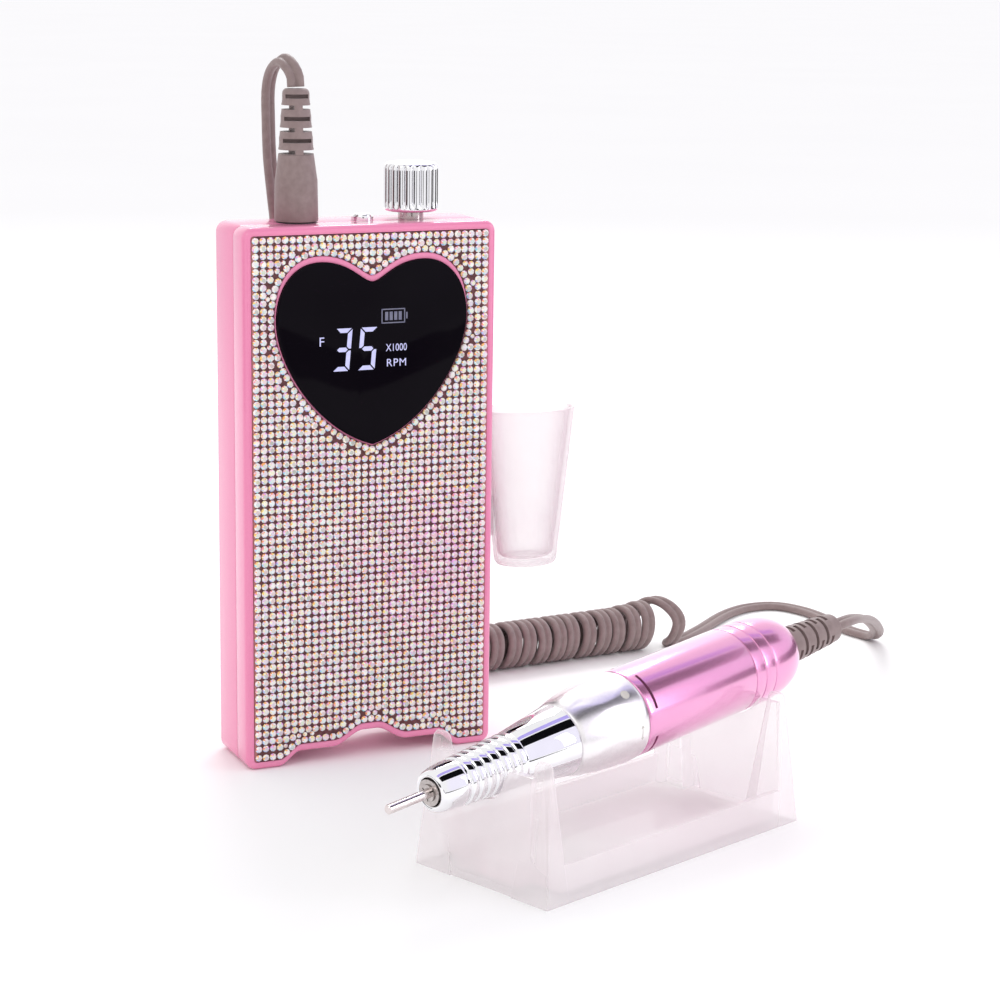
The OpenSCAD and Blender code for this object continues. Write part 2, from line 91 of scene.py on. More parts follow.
# ---------------------------------------------------------------- camera
def make_camera():
    turn, pitch, roll = -0.42872, 0.21176, 0.01354
    ahead = Vector((-math.sin(turn) * math.cos(pitch), math.cos(turn) * math.cos(pitch), -math.sin(pitch)))
    right = Vector((math.cos(turn), math.sin(turn), 0))
    up = right.cross(ahead)
    x = right * math.cos(roll) + up * math.sin(roll)
    y = up * math.cos(roll) - right * math.sin(roll)
    cam = bpy.data.cameras.new("camera")
    cam.lens = 91.03
    cam.sensor_width = 36
    cam.clip_start, cam.clip_end = 0.05, 60
    o = bpy.data.objects.new("camera", cam)
    bpy.context.scene.collection.objects.link(o)
    o.matrix_world = Matrix.Translation((-0.2868, -0.58013, 0.2197)) \
        @ Matrix((x, y, -ahead)).transposed().to_4x4()
    bpy.context.scene.camera = o


make_camera()


# ---------------------------------------------------------------- node and material helpers
class Nodes:
    """A material's node tree, with short calls to add and join nodes."""

    def __init__(self, name):
        self.material = bpy.data.materials.new(name)
        self.material.use_nodes = True
        self.tree = self.material.node_tree
        self.shader = self.tree.nodes["Principled BSDF"]

    def set(self, **values):
        for key, value in values.items():
            self.shader.inputs[key.replace("_", " ")].default_value = value
        return self

    def add(self, kind, inputs=None, **props):
        n = self.tree.nodes.new(kind)
        for key, value in props.items():
            setattr(n, key, value)
        for key, value in (inputs or {}).items():
            if isinstance(value, bpy.types.NodeSocket):
                self.tree.links.new(value, n.inputs[key])
            else:
                n.inputs[key].default_value = value
        return n

    def coords(self, scale=1.0):
        """Object coordinates times scale."""
        c = self.add("ShaderNodeTexCoord").outputs["Object"]
        return self.add("ShaderNodeVectorMath", {0: c, "Scale": scale}, operation="SCALE").outputs[0]

    def noise(self, scale, detail=2.0, vector=None, rough=0.5):
        return self.add("ShaderNodeTexNoise", {"Vector": vector or self.coords(), "Scale": scale,
                                               "Detail": detail, "Roughness": rough}).outputs["Fac"]

    def ramp(self, fac, *stops):
        n = self.add("ShaderNodeValToRGB", {"Fac": fac})
        while len(n.color_ramp.elements) < len(stops):
            n.color_ramp.elements.new(0.5)
        for e, (pos, colour) in zip(n.color_ramp.elements, stops):
            e.position = pos
            e.color = colour if len(colour) == 4 else (*colour, 1)
        return n.outputs["Color"]

    def spread(self, fac, low, high):
        """fac from 0..1 mapped to low..high."""
        return self.add("ShaderNodeMapRange", {"Value": fac, "To Min": low, "To Max": high}).outputs[0]

    def link(self, output, name):
        self.tree.links.new(output, self.shader.inputs[name])
        return self

    def bump(self, height, strength=0.2, distance=0.0001):
        n = self.add("ShaderNodeBump", {"Height": height, "Strength": strength, "Distance": distance})
        self.link(n.outputs[0], "Normal")
        return self


def speckled(name, low, high, scale, roughness, metallic=0.0, bump=0.0, detail=3.0, **more):
    """A material whose colour runs between two close tones, with matching roughness, and a fine bump when bump is
    given.
    """
    n = Nodes(name).set(Metallic=metallic, **more)
    f = n.noise(scale, detail)
    n.link(n.ramp(f, (0.3, low), (0.7, high)), "Base Color")
    n.link(n.spread(f, *roughness), "Roughness")
    if bump:
        n.bump(n.noise(scale * 6, 2), bump)
    return n


def chrome_material():
    n = speckled("chrome", (0.86, 0.86, 0.88), (0.93, 0.93, 0.95), 90, (0.03, 0.07), metallic=1.0)
    return n.material


def steel_material():
    n = Nodes("turned_steel").set(Metallic=1.0)
    f = n.add("ShaderNodeTexNoise", {"Vector": n.coords(), "Scale": 900.0, "Detail": 4.0}).outputs["Fac"]
    n.link(n.ramp(f, (0.3, (0.42, 0.38, 0.37)), (0.7, (0.6, 0.56, 0.54))), "Base Color")
    n.link(n.spread(f, 0.12, 0.3), "Roughness")
    return n.material


def silver_material():
    n = Nodes("satin_silver").set(Metallic=1.0, Coat_Weight=0.25, Coat_Roughness=0.08)
    f = n.noise(1400, 3)
    n.link(n.ramp(f, (0.35, (0.92, 0.89, 0.9)), (0.65, (0.97, 0.94, 0.95))), "Base Color")
    n.link(n.spread(f, 0.28, 0.36), "Roughness")
    return n.material


def shell_material():
    n = Nodes("pearl_pink_plastic").set(Metallic=0.0, Coat_Weight=0.3, Coat_Roughness=0.04, IOR=1.46)
    f = n.noise(2600, 2)
    g = n.noise(14, 2)
    mixed = n.add("ShaderNodeMath", {0: f, 1: g}, operation="ADD")
    mixed = n.add("ShaderNodeMath", {0: mixed.outputs[0], 1: 0.5}, operation="MULTIPLY").outputs[0]
    n.link(n.ramp(mixed, (0.3, (0.79, 0.23, 0.41)), (0.7, (0.83, 0.27, 0.45))), "Base Color")
    n.link(n.spread(f, 0.14, 0.24), "Roughness")
    return n.material


def grip_material():
    n = Nodes("anodised_pink").set(Metallic=0.75, Coat_Weight=1.0, Coat_Roughness=0.03)
    f = n.noise(3000, 2)
    n.link(n.ramp(f, (0.3, (0.82, 0.32, 0.58)), (0.7, (0.87, 0.38, 0.64))), "Base Color")
    n.link(n.spread(f, 0.2, 0.28), "Roughness")
    return n.material


def taupe_material():
    n = Nodes("taupe_soft_plastic").set(Specular_IOR_Level=0.35, Sheen_Weight=0.15, Sheen_Roughness=0.5)
    f = n.noise(500, 4)
    n.link(n.ramp(f, (0.3, (0.225, 0.162, 0.158)), (0.7, (0.275, 0.205, 0.2))), "Base Color")
    n.link(n.spread(f, 0.45, 0.6), "Roughness")
    n.bump(n.noise(2500, 3), 0.15, 0.00005)
    return n.material


def clear_material(name, low, high):
    """Slightly milky plastic that lets the light straight through, less so at a slant."""
    n = Nodes(name).set(Coat_Weight=0.5, Coat_Roughness=0.03)
    f = n.noise(40, 2)
    n.link(n.ramp(f, (0.3, low), (0.7, high)), "Base Color")
    n.link(n.spread(f, 0.06, 0.12), "Roughness")
    slant = n.add("ShaderNodeLayerWeight", {"Blend": 0.5}).outputs["Facing"]
    n.link(n.spread(slant, 0.12, 0.72), "Alpha")
    return n.material


def lens_material():
    n = Nodes("black_lens").set(Specular_IOR_Level=0.04)
    f = n.noise(30, 2)
    n.link(n.ramp(f, (0.3, (0.003, 0.002, 0.004)), (0.7, (0.005, 0.004, 0.006))), "Base Color")
    n.link(n.spread(f, 0.04, 0.08), "Roughness")
    return n.material


def glow_material():
    n = Nodes("display_light").set(Roughness=0.5, Emission_Strength=1.0)
    f = n.noise(700, 2)
    n.link(n.ramp(f, (0.3, (0.56, 0.56, 0.93)), (0.7, (0.66, 0.66, 1.0))), "Emission Color")
    n.link(n.ramp(f, (0.3, (0.02, 0.02, 0.03)), (0.7, (0.04, 0.04, 0.05))), "Base Color")
    return n.material


def dim_material():
    n = Nodes("display_dim").set(Roughness=0.5, Emission_Strength=0.22)
    f = n.noise(700, 2)
    n.link(n.ramp(f, (0.3, (0.56, 0.56, 0.93)), (0.7, (0.7, 0.7, 1.0))), "Emission Color")
    n.link(n.ramp(f, (0.3, (0.02, 0.02, 0.03)), (0.7, (0.04, 0.04, 0.05))), "Base Color")
    return n.material


def stone_material():
    n = Nodes("iridescent_crystal").set(Roughness=0.08, Coat_Weight=0.6, Coat_Roughness=0.02, Specular_IOR_Level=0.6)
    # the "fire" face colours are painted reflections of the coat and painted shade on the stones' sides
    tint = n.add("ShaderNodeAttribute", attribute_name="fire").outputs["Color"]
    f = n.noise(4000, 2)
    shade = n.add("ShaderNodeMix", {"Factor": f, 6: tint, 7: (1, 1, 1, 1)}, data_type="RGBA", blend_type="SOFT_LIGHT")
    shade.inputs["Factor"].default_value = 0.3
    n.link(shade.outputs[2], "Base Color")
    return n.material


def bed_material():
    """Painted shade: dark between the stones, where shade falls; pink along the panel's bare margins."""
    n = Nodes("stone_bed").set(Roughness=0.5)
    c = n.coords()
    x = n.add("ShaderNodeSeparateXYZ", {0: c}).outputs[0]
    off = n.add("ShaderNodeMath", {0: x, 1: CASE.x}, operation="SUBTRACT").outputs[0]
    off = n.add("ShaderNodeMath", {0: off}, operation="ABSOLUTE").outputs[0]
    edge = n.add("ShaderNodeMapRange", {"Value": off, "From Min": 0.0333, "From Max": 0.0338}).outputs[0]
    f = n.noise(900, 3)
    # painted shade: the dark colour in the gaps between the stones
    dark = n.ramp(f, (0.3, (0.07, 0.016, 0.02)), (0.7, (0.16, 0.045, 0.05)))
    mix = n.add("ShaderNodeMix", {"Factor": edge, 6: dark, 7: (0.456, 0.17, 0.16, 1)}, data_type="RGBA")
    n.link(mix.outputs[2], "Base Color")
    return n.material


MATS = {
    "chrome": chrome_material(), "steel": steel_material(), "silver": silver_material(),
    "shell": shell_material(), "grip": grip_material(), "taupe": taupe_material(),
    "clear": clear_material("clear_acrylic", (0.9, 0.82, 0.84), (0.93, 0.86, 0.875)),
    "cup": clear_material("clear_cup", (0.66, 0.54, 0.58), (0.72, 0.6, 0.64)), "lens": lens_material(), "glow": glow_material(),
    "stone": stone_material(), "bed": bed_material(), "dim": dim_material(),
    "shank": speckled("polished_shank", (0.7, 0.63, 0.62), (0.8, 0.73, 0.72), 700, (0.14, 0.22), metallic=1.0).material,
    "mark": speckled("printed_mark", (0.5, 0.47, 0.44), (0.6, 0.57, 0.53), 900, (0.5, 0.6)).material,
    "dark": speckled("dark_plastic", (0.012, 0.012, 0.014), (0.03, 0.03, 0.032), 800, (0.35, 0.55), bump=0.1).material,
    "board": speckled("circuit_board", (0.01, 0.1, 0.04), (0.02, 0.16, 0.07), 300, (0.3, 0.5), bump=0.1).material,
    "battery": speckled("cell_wrap", (0.03, 0.1, 0.4), (0.05, 0.14, 0.5), 200, (0.25, 0.4), bump=0.05).material,
    "copper": speckled("copper_alloy", (0.6, 0.28, 0.13), (0.75, 0.38, 0.2), 500, (0.2, 0.35), metallic=1.0).material,
    "vent": speckled("vent_shadow", (0.006, 0.004, 0.008), (0.012, 0.008, 0.014), 500, (0.5, 0.7)).material,
}


# ---------------------------------------------------------------- mesh helpers, all sizes in mm
def skin(rings, caps=(True, True), loop=False):
    """Quads between rings of points that all have one length; loop joins the last ring to the first."""
    n, m = len(rings[0]), len(rings)
    verts = [p for r in rings for p in r]
    faces = []
    for i in range(m if loop else m - 1):
        a, b = i * n, ((i + 1) % m) * n
        faces += [(a + k, a + (k + 1) % n, b + (k + 1) % n, b + k) for k in range(n)]
    if caps[0] and not loop:
        faces.append(tuple(reversed(range(n))))
    if caps[1] and not loop:
        faces.append(tuple(range((m - 1) * n, m * n)))
    return verts, faces


def soften(points, r, closed=False, steps=3):
    """Rounds the corners of an outline."""
    out, n = [], len(points)
    for i, p in enumerate(points):
        b = Vector(p)
        if not closed and i in (0, n - 1):
            out.append(tuple(b))
            continue
        u, v = Vector(points[i - 1]) - b, Vector(points[(i + 1) % n]) - b
        if u.length < 1e-9 or v.length < 1e-9 or u.angle(v) > math.radians(160):
            out.append(tuple(b))
            continue
        d = min(r, 0.45 * u.length, 0.45 * v.length)
        s, e = b + u.normalized() * d, b + v.normalized() * d
        for k in range(steps + 1):
            t = k / steps
            out.append(tuple((1 - t) ** 2 * s + 2 * t * (1 - t) * b + t * t * e))
    return out


def turned(profile, n=96, closed=False, shape=None):
    """Lathe about +Z from (radius, height) points. shape(angle, r, z) may change the radius."""
    rings = []
    for r, z in profile:
        ring = []
        for k in range(n):
            a = TAU * k / n
            q = shape(a, r, z) if shape else r
            ring.append((q * math.cos(a), q * math.sin(a), z))
        rings.append(ring)
    return skin(rings, loop=closed)


def join(*parts):
    verts, faces = [], []
    for v, f in parts:
        base = len(verts)
        verts += list(v)
        faces += [tuple(i + base for i in face) for face in f]
    return verts, faces


def box_mesh(low, high):
    xs, ys, zs = zip(low, high)
    v = [(x, y, z) for x in xs for y in ys for z in zs]
    return v, [(0, 1, 3, 2), (4, 6, 7, 5), (0, 4, 5, 1), (2, 3, 7, 6), (0, 2, 6, 4), (1, 5, 7, 3)]


def raw_object(name, shape, place=Matrix.Identity(4)):
    me = bpy.data.meshes.new(name)
    me.from_pydata([tuple(Vector(v) * MM) for v in shape[0]], [], shape[1])
    me.transform(place)
    bm = bmesh.new()
    bm.from_mesh(me)
    bmesh.ops.recalc_face_normals(bm, faces=bm.faces)
    bm.to_mesh(me)
    bm.free()
    me.update()
    o = bpy.data.objects.new(name, me)
    bpy.context.scene.collection.objects.link(o)
    return o


def dress(o, material, body, nodes=(), sharp=32):
    o.data.materials.clear()
    o.data.materials.append(MATS[material])
    o.data.shade_smooth()
    o.data.set_sharp_from_angle(angle=math.radians(sharp))
    if body:
        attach(o, body)
    if nodes:
        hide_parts(*nodes)
    return o


def piece(name, shape, material, body, nodes=(), place=Matrix.Identity(4), sharp=32):
    return dress(raw_object(name, shape, place), material, body, nodes, sharp)


def modify(o, kind, **props):
    """Adds a modifier and applies it."""
    m = o.modifiers.new("m", kind)
    for k, v in props.items():
        setattr(m, k, v)
    bpy.context.view_layer.update()
    done = bpy.data.meshes.new_from_object(o.evaluated_get(bpy.context.evaluated_depsgraph_get()))
    o.modifiers.clear()
    old, o.data = o.data, done
    bpy.data.meshes.remove(old)
    done.name = o.name
    return o


def cut(o, *tools):
    for t in tools:
        modify(o, "BOOLEAN", operation="DIFFERENCE", solver="EXACT", object=t)
        bpy.data.objects.remove(t)
    return o


# ---------------------------------------------------------------- cords
def smooth_step(t):
    t = min(max(t, 0.0), 1.0)
    return t * t * (3 - 2 * t)


CORD_W = 4.7
STRAND_R = 1.2
STRAND_OFF = 1.15
COIL_R = 6.2
PLUG_ROUTE = [(-54.3, 63, 185), (-54.4, 63.1, 187.4), (-54.9, 65.1, 190), (-55.6, 69, 191.8),
              (-56, 73, 191), (-56.3, 77, 188), (-56.5, 79, 183), (-56.3, 79.5, 175), (-55.8, 80, 165),
              (-54.7, 80.3, 155), (-53.6, 80.5, 145), (-52.8, 81, 128), (-52.3, 81.5, 110), (-52, 82, 90),
              (-51.4, 83, 70), (-50.8, 84, 48), (-50.3, 85.5, 30), (-49.6, 88, 17), (-48, 93, 8),
              (-45.5, 100, 3.5), (-42, 107, 2.4), (-38.5, 111.5, 2.4), (-35.3, 113, 2.4)]
LEAD_ROUTE = [(76.9, -5.4, 40.3), (81.5, -3.4, 40.6), (86, 0, 40.1), (91, 5.5, 38.6), (102, 19.5, 34.2),
              (115.5, 37, 28.4), (129.5, 55.5, 21.6), (143, 74, 14.4), (155, 91, 7.6), (159.6, 98.8, 4.4),
              (161.2, 105, 2.6), (159.8, 111, 2.4), (159, 118.5, 2.4), (159.4, 128, 2.4), (159.2, 135.5, 2.4),
              (158, 142.3, 2.4), (154.8, 149.2, 2.4), (149.5, 152.6, 2.4), (140.2, 152, 2.4),
              (128.9, 145.9, 2.4), (115, 134.5, 2.4), (105, 126.8, 2.4)]
COIL_FROM, COIL_TO = Vector((-35, 113, 7.4)), Vector((91, 124.4, 7.4))
COIL_PITCH = 5.45


def spline(points, step):
    """Points about step apart on a smooth curve through the given ones."""
    p = [Vector(q) for q in points]
    p = [2 * p[0] - p[1]] + p + [2 * p[-1] - p[-2]]
    out = []
    for i in range(1, len(p) - 2):
        a, b, c, d = p[i - 1:i + 3]
        n = max(1, round((c - b).length / step))
        for k in range(n):
            t = k / n
            out.append(0.5 * ((2 * b) + (c - a) * t + (2 * a - 5 * b + 4 * c - d) * t * t
                              + (3 * b - a - 3 * c + d) * t ** 3))
    out.append(p[-2])
    return out


def settle(points):
    """A flat cord lies lower on the table than a round one of its width."""
    out = []
    for q in points:
        low = max(0.0, min(1.0, (7.0 - q.z) / 4.5))
        out.append(Vector((q.x, q.y, q.z - (CORD_W / 2 - STRAND_R) * low * low * (3 - 2 * low))))
    return out


def twin_section(n=30):
    """Outline of two strands side by side, as (across, out) pairs."""
    pts = []
    for side in (1, -1):
        for k in range(n // 2):
            a = math.radians(-148 + 296 * k / (n // 2 - 1))
            q = (STRAND_OFF + STRAND_R * math.cos(a), STRAND_R * math.sin(a))
            pts.append((q[0] * side, q[1] * side))
    return pts


def sweep(path, outs, section):
    """Rings of the section along path; outs are the directions that the section's second axis takes."""
    rings = []
    for i, p in enumerate(path):
        t = (path[min(i + 1, len(path) - 1)] - path[max(i - 1, 0)]).normalized()
        o = (outs[i] - t * outs[i].dot(t)).normalized()
        across = t.cross(o)
        rings.append([tuple(p + across * a + o * b) for a, b in section])
    return skin(rings)


def carry(path, first):
    """Directions kept as steady as possible along path, starting from first."""
    outs, o = [], Vector(first)
    for i, p in enumerate(path):
        t = (path[min(i + 1, len(path) - 1)] - path[max(i - 1, 0)]).normalized()
        o = (o - t * o.dot(t)).normalized()
        outs.append(o.copy())
    return outs


def mixed_outs(path, first, last, turn_from, turn_to):
    """Steady directions that end at last, turned in gradually between two shares of the path."""
    outs = carry(path, first)
    t = (path[-1] - path[-2]).normalized()
    goal = (Vector(last) - t * Vector(last).dot(t)).normalized()
    angle = math.atan2(outs[-1].cross(goal).dot(t), outs[-1].dot(goal))
    if angle > math.pi / 2:
        angle -= math.pi
    if angle < -math.pi / 2:
        angle += math.pi
    for i, p in enumerate(path):
        s = max(0.0, min(1.0, (i / (len(path) - 1) - turn_from) / (turn_to - turn_from)))
        s = s * s * (3 - 2 * s)
        t = (path[min(i + 1, len(path) - 1)] - path[max(i - 1, 0)]).normalized()
        outs[i] = Matrix.Rotation(angle * s, 3, t) @ outs[i]
    return outs


def coil_path():
    """Centreline of the coil from its right end to its left end, with outward directions. The turns lean
    to the right, are wider at the right end, and the first one stands open."""
    along = (COIL_FROM - COIL_TO)
    length = along.length
    u = along.normalized()
    down = Vector((0, 0, -1))
    side = u.cross(down)
    turns = round(length / COIL_PITCH)
    start = 0.6
    path, outs = [], []
    n = 40 * turns
    for i in range(n + 1):
        q = i / n
        angle = start + (TAU * turns - start) * q
        turn = angle / TAU
        wide = max(0.0, 1 - turn / 3.6) ** 1.4
        r = COIL_R + 1.2 * wide
        d = length * q + 0.35 * math.sin(2.3 * turn) + 0.25 * math.sin(5.1 * turn + 1)
        d += -6.2 * math.exp(-(max(0.0, angle - 1.5) / 1.15) ** 2) + 5.0 * max(0.0, 1 - (1 - q) * turns / 0.75) ** 1.6
        out = down * math.cos(angle) + side * math.sin(angle)
        path.append(COIL_TO + u * (d - 0.3 * out.z * r) + out * r + Vector((0, 0, r - COIL_R)))
        outs.append(out)
    return path, outs


def join_smooth(a, b, n=10):
    """Curve points between the end of path a and the start of path b, tangent to both."""
    p0, p3 = a[-1], b[0]
    t0, t3 = (a[-1] - a[-2]).normalized(), (b[1] - b[0]).normalized()
    k = (p3 - p0).length * 0.45
    p1, p2 = p0 + t0 * k, p3 - t3 * k
    return [((1 - t) ** 3) * p0 + 3 * t * (1 - t) ** 2 * p1 + 3 * t * t * (1 - t) * p2 + t ** 3 * p3
            for t in [(i + 1) / (n + 1) for i in range(n)]]


def level(path, outs):
    """Lays the cord flat where it is on the table."""
    done = []
    for i, p in enumerate(path):
        t = (path[min(i + 1, len(path) - 1)] - path[max(i - 1, 0)]).normalized()
        up = Vector((0, 0, 1))
        up = (up - t * up.dot(t)).normalized()
        share = smooth_step((7 - p.z) / 4)
        done.append((outs[i] * (1 - share) + up * share * (1 if outs[i].dot(up) > 0 else -1)).normalized())
    return done


coil, coil_outs = coil_path()
lead = settle(spline(LEAD_ROUTE, 2.0))
bridge = join_smooth(lead, coil)
lead_all = lead + bridge
lead_outs = level(lead_all, carry(lead_all, (0, 0, 1)))
path_a = lead_all + coil
outs_a = lead_outs + [o * (1 if lead_outs[-1].dot(coil_outs[0]) > 0 else -1) for o in coil_outs]

leg = settle(spline(list(reversed(PLUG_ROUTE))[2:], 2.0))
tail = join_smooth(coil, leg, 12)
path_b = tail + leg
path_b = list(reversed(path_b))
outs_b = level(path_b, mixed_outs(path_b, (-0.2, -1, 0), coil_outs[-1], 0.6, 0.97))
path_a_end = path_a[-1]

cord_a = piece("cord_curly", sweep(path_a, outs_a, twin_section()), "taupe", None,
               sharp=60)
cord_b = piece("cord_plug_lead", sweep(path_b, outs_b, twin_section()), "taupe", None,
               sharp=60)
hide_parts("cord_coil", "handpiece_lead")
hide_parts("plug_lead")
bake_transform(cord_a)
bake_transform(cord_b)


# ---------------------------------------------------------------- control unit
W2, H = 36.5, 149.0
CORNER, STEP_RISE, ARCH_RISE = 3.0, 3.8, 3.9


def wave(x):
    return STEP_RISE * smooth_step((27 - abs(x)) / 6.5) + ARCH_RISE * smooth_step((11 - abs(x)) / 9)


def arc(cx, cy, r, a0, a1, n=8):
    return [(cx + r * math.cos(math.radians(a0 + (a1 - a0) * i / n)),
             cy + r * math.sin(math.radians(a0 + (a1 - a0) * i / n))) for i in range(n + 1)]


def outline(d):
    """Case outline in x and z, set in by d."""
    cx = W2 - CORNER
    r = max(CORNER - d, 0.4)
    run = cx - 0.6
    n = 110
    bottom = [(x, wave(x) + CORNER - r) for x in (-run + 2 * run * i / n for i in range(n + 1))]
    return (arc(-cx, CORNER, r, 180, 270) + bottom + arc(cx, CORNER, r, 270, 360)
            + arc(cx, H - CORNER, r, 0, 90) + arc(-cx, H - CORNER, r, 90, 180))


def bezier(a, b, c, d, n):
    out = []
    for i in range(n):
        t = i / n
        u = 1 - t
        out.append(tuple(u ** 3 * p + 3 * u * u * t * q + 3 * u * t * t * r + t ** 3 * s
                         for p, q, r, s in zip(a, b, c, d)))
    return out


HEART_Z = 124.0
half = (bezier((0, 9.6), (3, 9.8), (6.5, 15.3), (14.9, 15.3), 26)
        + bezier((14.9, 15.3), (23.5, 15.3), (27.5, 7.5), (27.5, 0), 26)
        + bezier((27.5, 0), (27.5, -12), (16, -30), (0, -34.8), 40))
heart_line = half + [(0, -34.8)] + [(-x, z) for x, z in reversed(half[1:])]
heart_line = [(x, z + HEART_Z) for x, z in heart_line]
BEZEL, RIM_RISE = 0.4, 1.3


def heart(g, rise=0.0):
    """Heart outline grown by g, and lifted by rise where it faces up."""
    out, n = [], len(heart_line)
    for i in range(n):
        a, b = Vector(heart_line[i - 1]), Vector(heart_line[(i + 1) % n])
        t = (b - a).normalized()
        up = min(1.0, max(0.0, t.x / 0.35))
        out.append((heart_line[i][0] - t.y * g, heart_line[i][1] + t.x * g + rise * up))
    return out


def rim(g):
    """Outline of the rim, g outside its own edge."""
    return heart(BEZEL + g, RIM_RISE)


def loft(profile, outline_at, loop=False):
    """Rings of outline_at(inset) at depth y, for (inset, y) in profile."""
    return skin([[(x, y, z) for x, z in outline_at(d)] for d, y in profile], loop=loop)


def quarter(r, y0, sign, n=6):
    """(inset, y) pairs around a rounded outer edge that ends at y0; sign is -1 towards the front."""
    out = []
    for i in range(n + 1):
        a = math.pi / 2 * i / n
        out.append((r - r * math.cos(a), y0 - sign * (r - r * math.sin(a))))
    return out


FRONT_D, CASE_D = 8.5, 24.0
PANEL_IN = 2.2
front_profile = ([(0.3, FRONT_D), (0.07, FRONT_D - 0.1), (0.0, FRONT_D - 0.35)]
                 + quarter(1.5, 0.0, -1)
                 + [(PANEL_IN - 0.25, 0.0), (PANEL_IN - 0.05, 0.08), (PANEL_IN, 0.3), (PANEL_IN, 2.4)])
case_front = piece("case_front", loft(front_profile, outline), "shell", "console",
                   ["front_shell"], IN_CASE)
rear_profile = ([(0.3, FRONT_D + 0.1), (0.07, FRONT_D + 0.2), (0.0, FRONT_D + 0.45)]
                + quarter(1.7, CASE_D, 1))
case_rear = raw_object("case_rear", loft(rear_profile, outline), IN_CASE)
tools = []
for x in (-30, 30):
    for z in (9, 134):
        t = raw_object("tool", turned([(2.6, 0), (2.6, 5)], 40),
                       IN_CASE @ Matrix.Translation(Vector((x, CASE_D - 1.6, z)) * MM) @ Matrix.Rotation(-math.pi / 2, 4, "X"))
        tools.append(t)
tools.append(raw_object("tool", box_mesh((W2 - 7.5, 11.4, 21.8), (W2 + 1, 20.6, 25.2)), IN_CASE))
cut(case_rear, *tools)
dress(case_rear, "shell", "console", ["rear_shell"])


def plate_with_hole(name, outer, inner, y0, y1, place):
    """Flat plate between two outlines in x and z, from y0 to y1, with a hole."""
    c = bpy.data.curves.new(name, "CURVE")
    c.dimensions = "2D"
    c.fill_mode = "BOTH"
    c.extrude = (y1 - y0) / 2 * MM
    for pts in (outer, inner):
        s = c.splines.new("POLY")
        s.points.add(len(pts) - 1)
        for p, (x, z) in zip(s.points, pts):
            p.co = (x * MM, z * MM, 0, 1)
        s.use_cyclic_u = True
    o = bpy.data.objects.new(name, c)
    bpy.context.scene.collection.objects.link(o)
    bpy.context.view_layer.update()
    me = bpy.data.meshes.new_from_object(o.evaluated_get(bpy.context.evaluated_depsgraph_get()))
    bpy.data.objects.remove(o)
    bpy.data.curves.remove(c)
    me.transform(place @ Matrix.Translation((0, (y0 + y1) / 2 * MM, 0)) @ Matrix.Rotation(math.pi / 2, 4, "X"))
    bm = bmesh.new()
    bm.from_mesh(me)
    bmesh.ops.remove_doubles(bm, verts=bm.verts, dist=1e-6)
    bmesh.ops.recalc_face_normals(bm, faces=bm.faces)
    bm.to_mesh(me)
    bm.free()
    made = bpy.data.objects.new(name, me)
    bpy.context.scene.collection.objects.link(made)
    return made


bed = plate_with_hole("stone_bed", outline(PANEL_IN + 0.1), rim(0.1), 0.0, 0.6, IN_CASE)
dress(bed, "bed", "console", ["stone_panel"])

rim_rings = [(0.05, 0, 2.4), (0.05, 0, 0.0), (0.1, 0.05, -0.16), (0.2, 0.5, -0.2), (0.34, 1.1, -0.16),
             (0.4, 1.3, 0.0), (0.4, 1.3, 2.4)]
piece("display_rim", skin([[(x, y, z) for x, z in heart(g, lift)] for g, lift, y in rim_rings], loop=True),
      "shell", "console", ["display_bezel"], IN_CASE)
lens_profile = [(-0.3, 1.6), (0, 1.3), (0, -0.85), (-0.12, -1.02), (-0.4, -1.1)]
piece("display_window", loft(lens_profile, heart), "lens", "console", ["display_lens"], IN_CASE)


# ---------------------------------------------------------------- display marks
LENS_Y = -1.1
eye = bpy.context.scene.camera.matrix_world.translation / MM - CASE / MM


def on_glass(x, z):
    """Where the line of sight to (x, z) on the case's front meets the glass."""
    d = Vector((x, 0, z)) - eye
    p = eye + d * ((LENS_Y - eye.y) / d.y)
    return p.x, p.z


def bar(points):
    """Thin slab on the glass from points in x and z."""
    rings = [[(x, LENS_Y - 0.03, z) for x, z in points], [(x, LENS_Y + 0.01, z) for x, z in points]]
    return skin(rings)


def rect(x0, z0, x1, z1):
    return bar([on_glass(x0, z0), on_glass(x1, z0), on_glass(x1, z1), on_glass(x0, z1)])


SEGMENTS = {"3": "abgcd", "5": "afgcd"}


def digit(char, x, z, w, h, t, slant):
    """Seven-segment digit with its lower left corner at x, z."""
    def p(u, v):
        return on_glass(x + u + slant * v, z + v)
    m, g, e = h / 2, 0.27, t / 2
    shapes = {
        "a": [(g, h), (w - g, h), (w - t - g, h - t), (t + g, h - t)],
        "d": [(g, 0), (t + g, t), (w - t - g, t), (w - g, 0)],
        "g": [(e + g, m), (t + g, m + e), (w - t - g, m + e), (w - e - g, m), (w - t - g, m - e), (t + g, m - e)],
        "f": [(0, h - g), (t, h - t - g), (t, m + e + g), (e, m + g), (0, m + g)],
        "b": [(w, h - g), (w, m + g), (w - e, m + g), (w - t, m + e + g), (w - t, h - t - g)],
        "c": [(w, g), (w - t, t + g), (w - t, m - e - g), (w - e, m - g), (w, m - g)],
    }
    return [bar([p(u, v) for u, v in shapes[s]]) for s in SEGMENTS[char]]


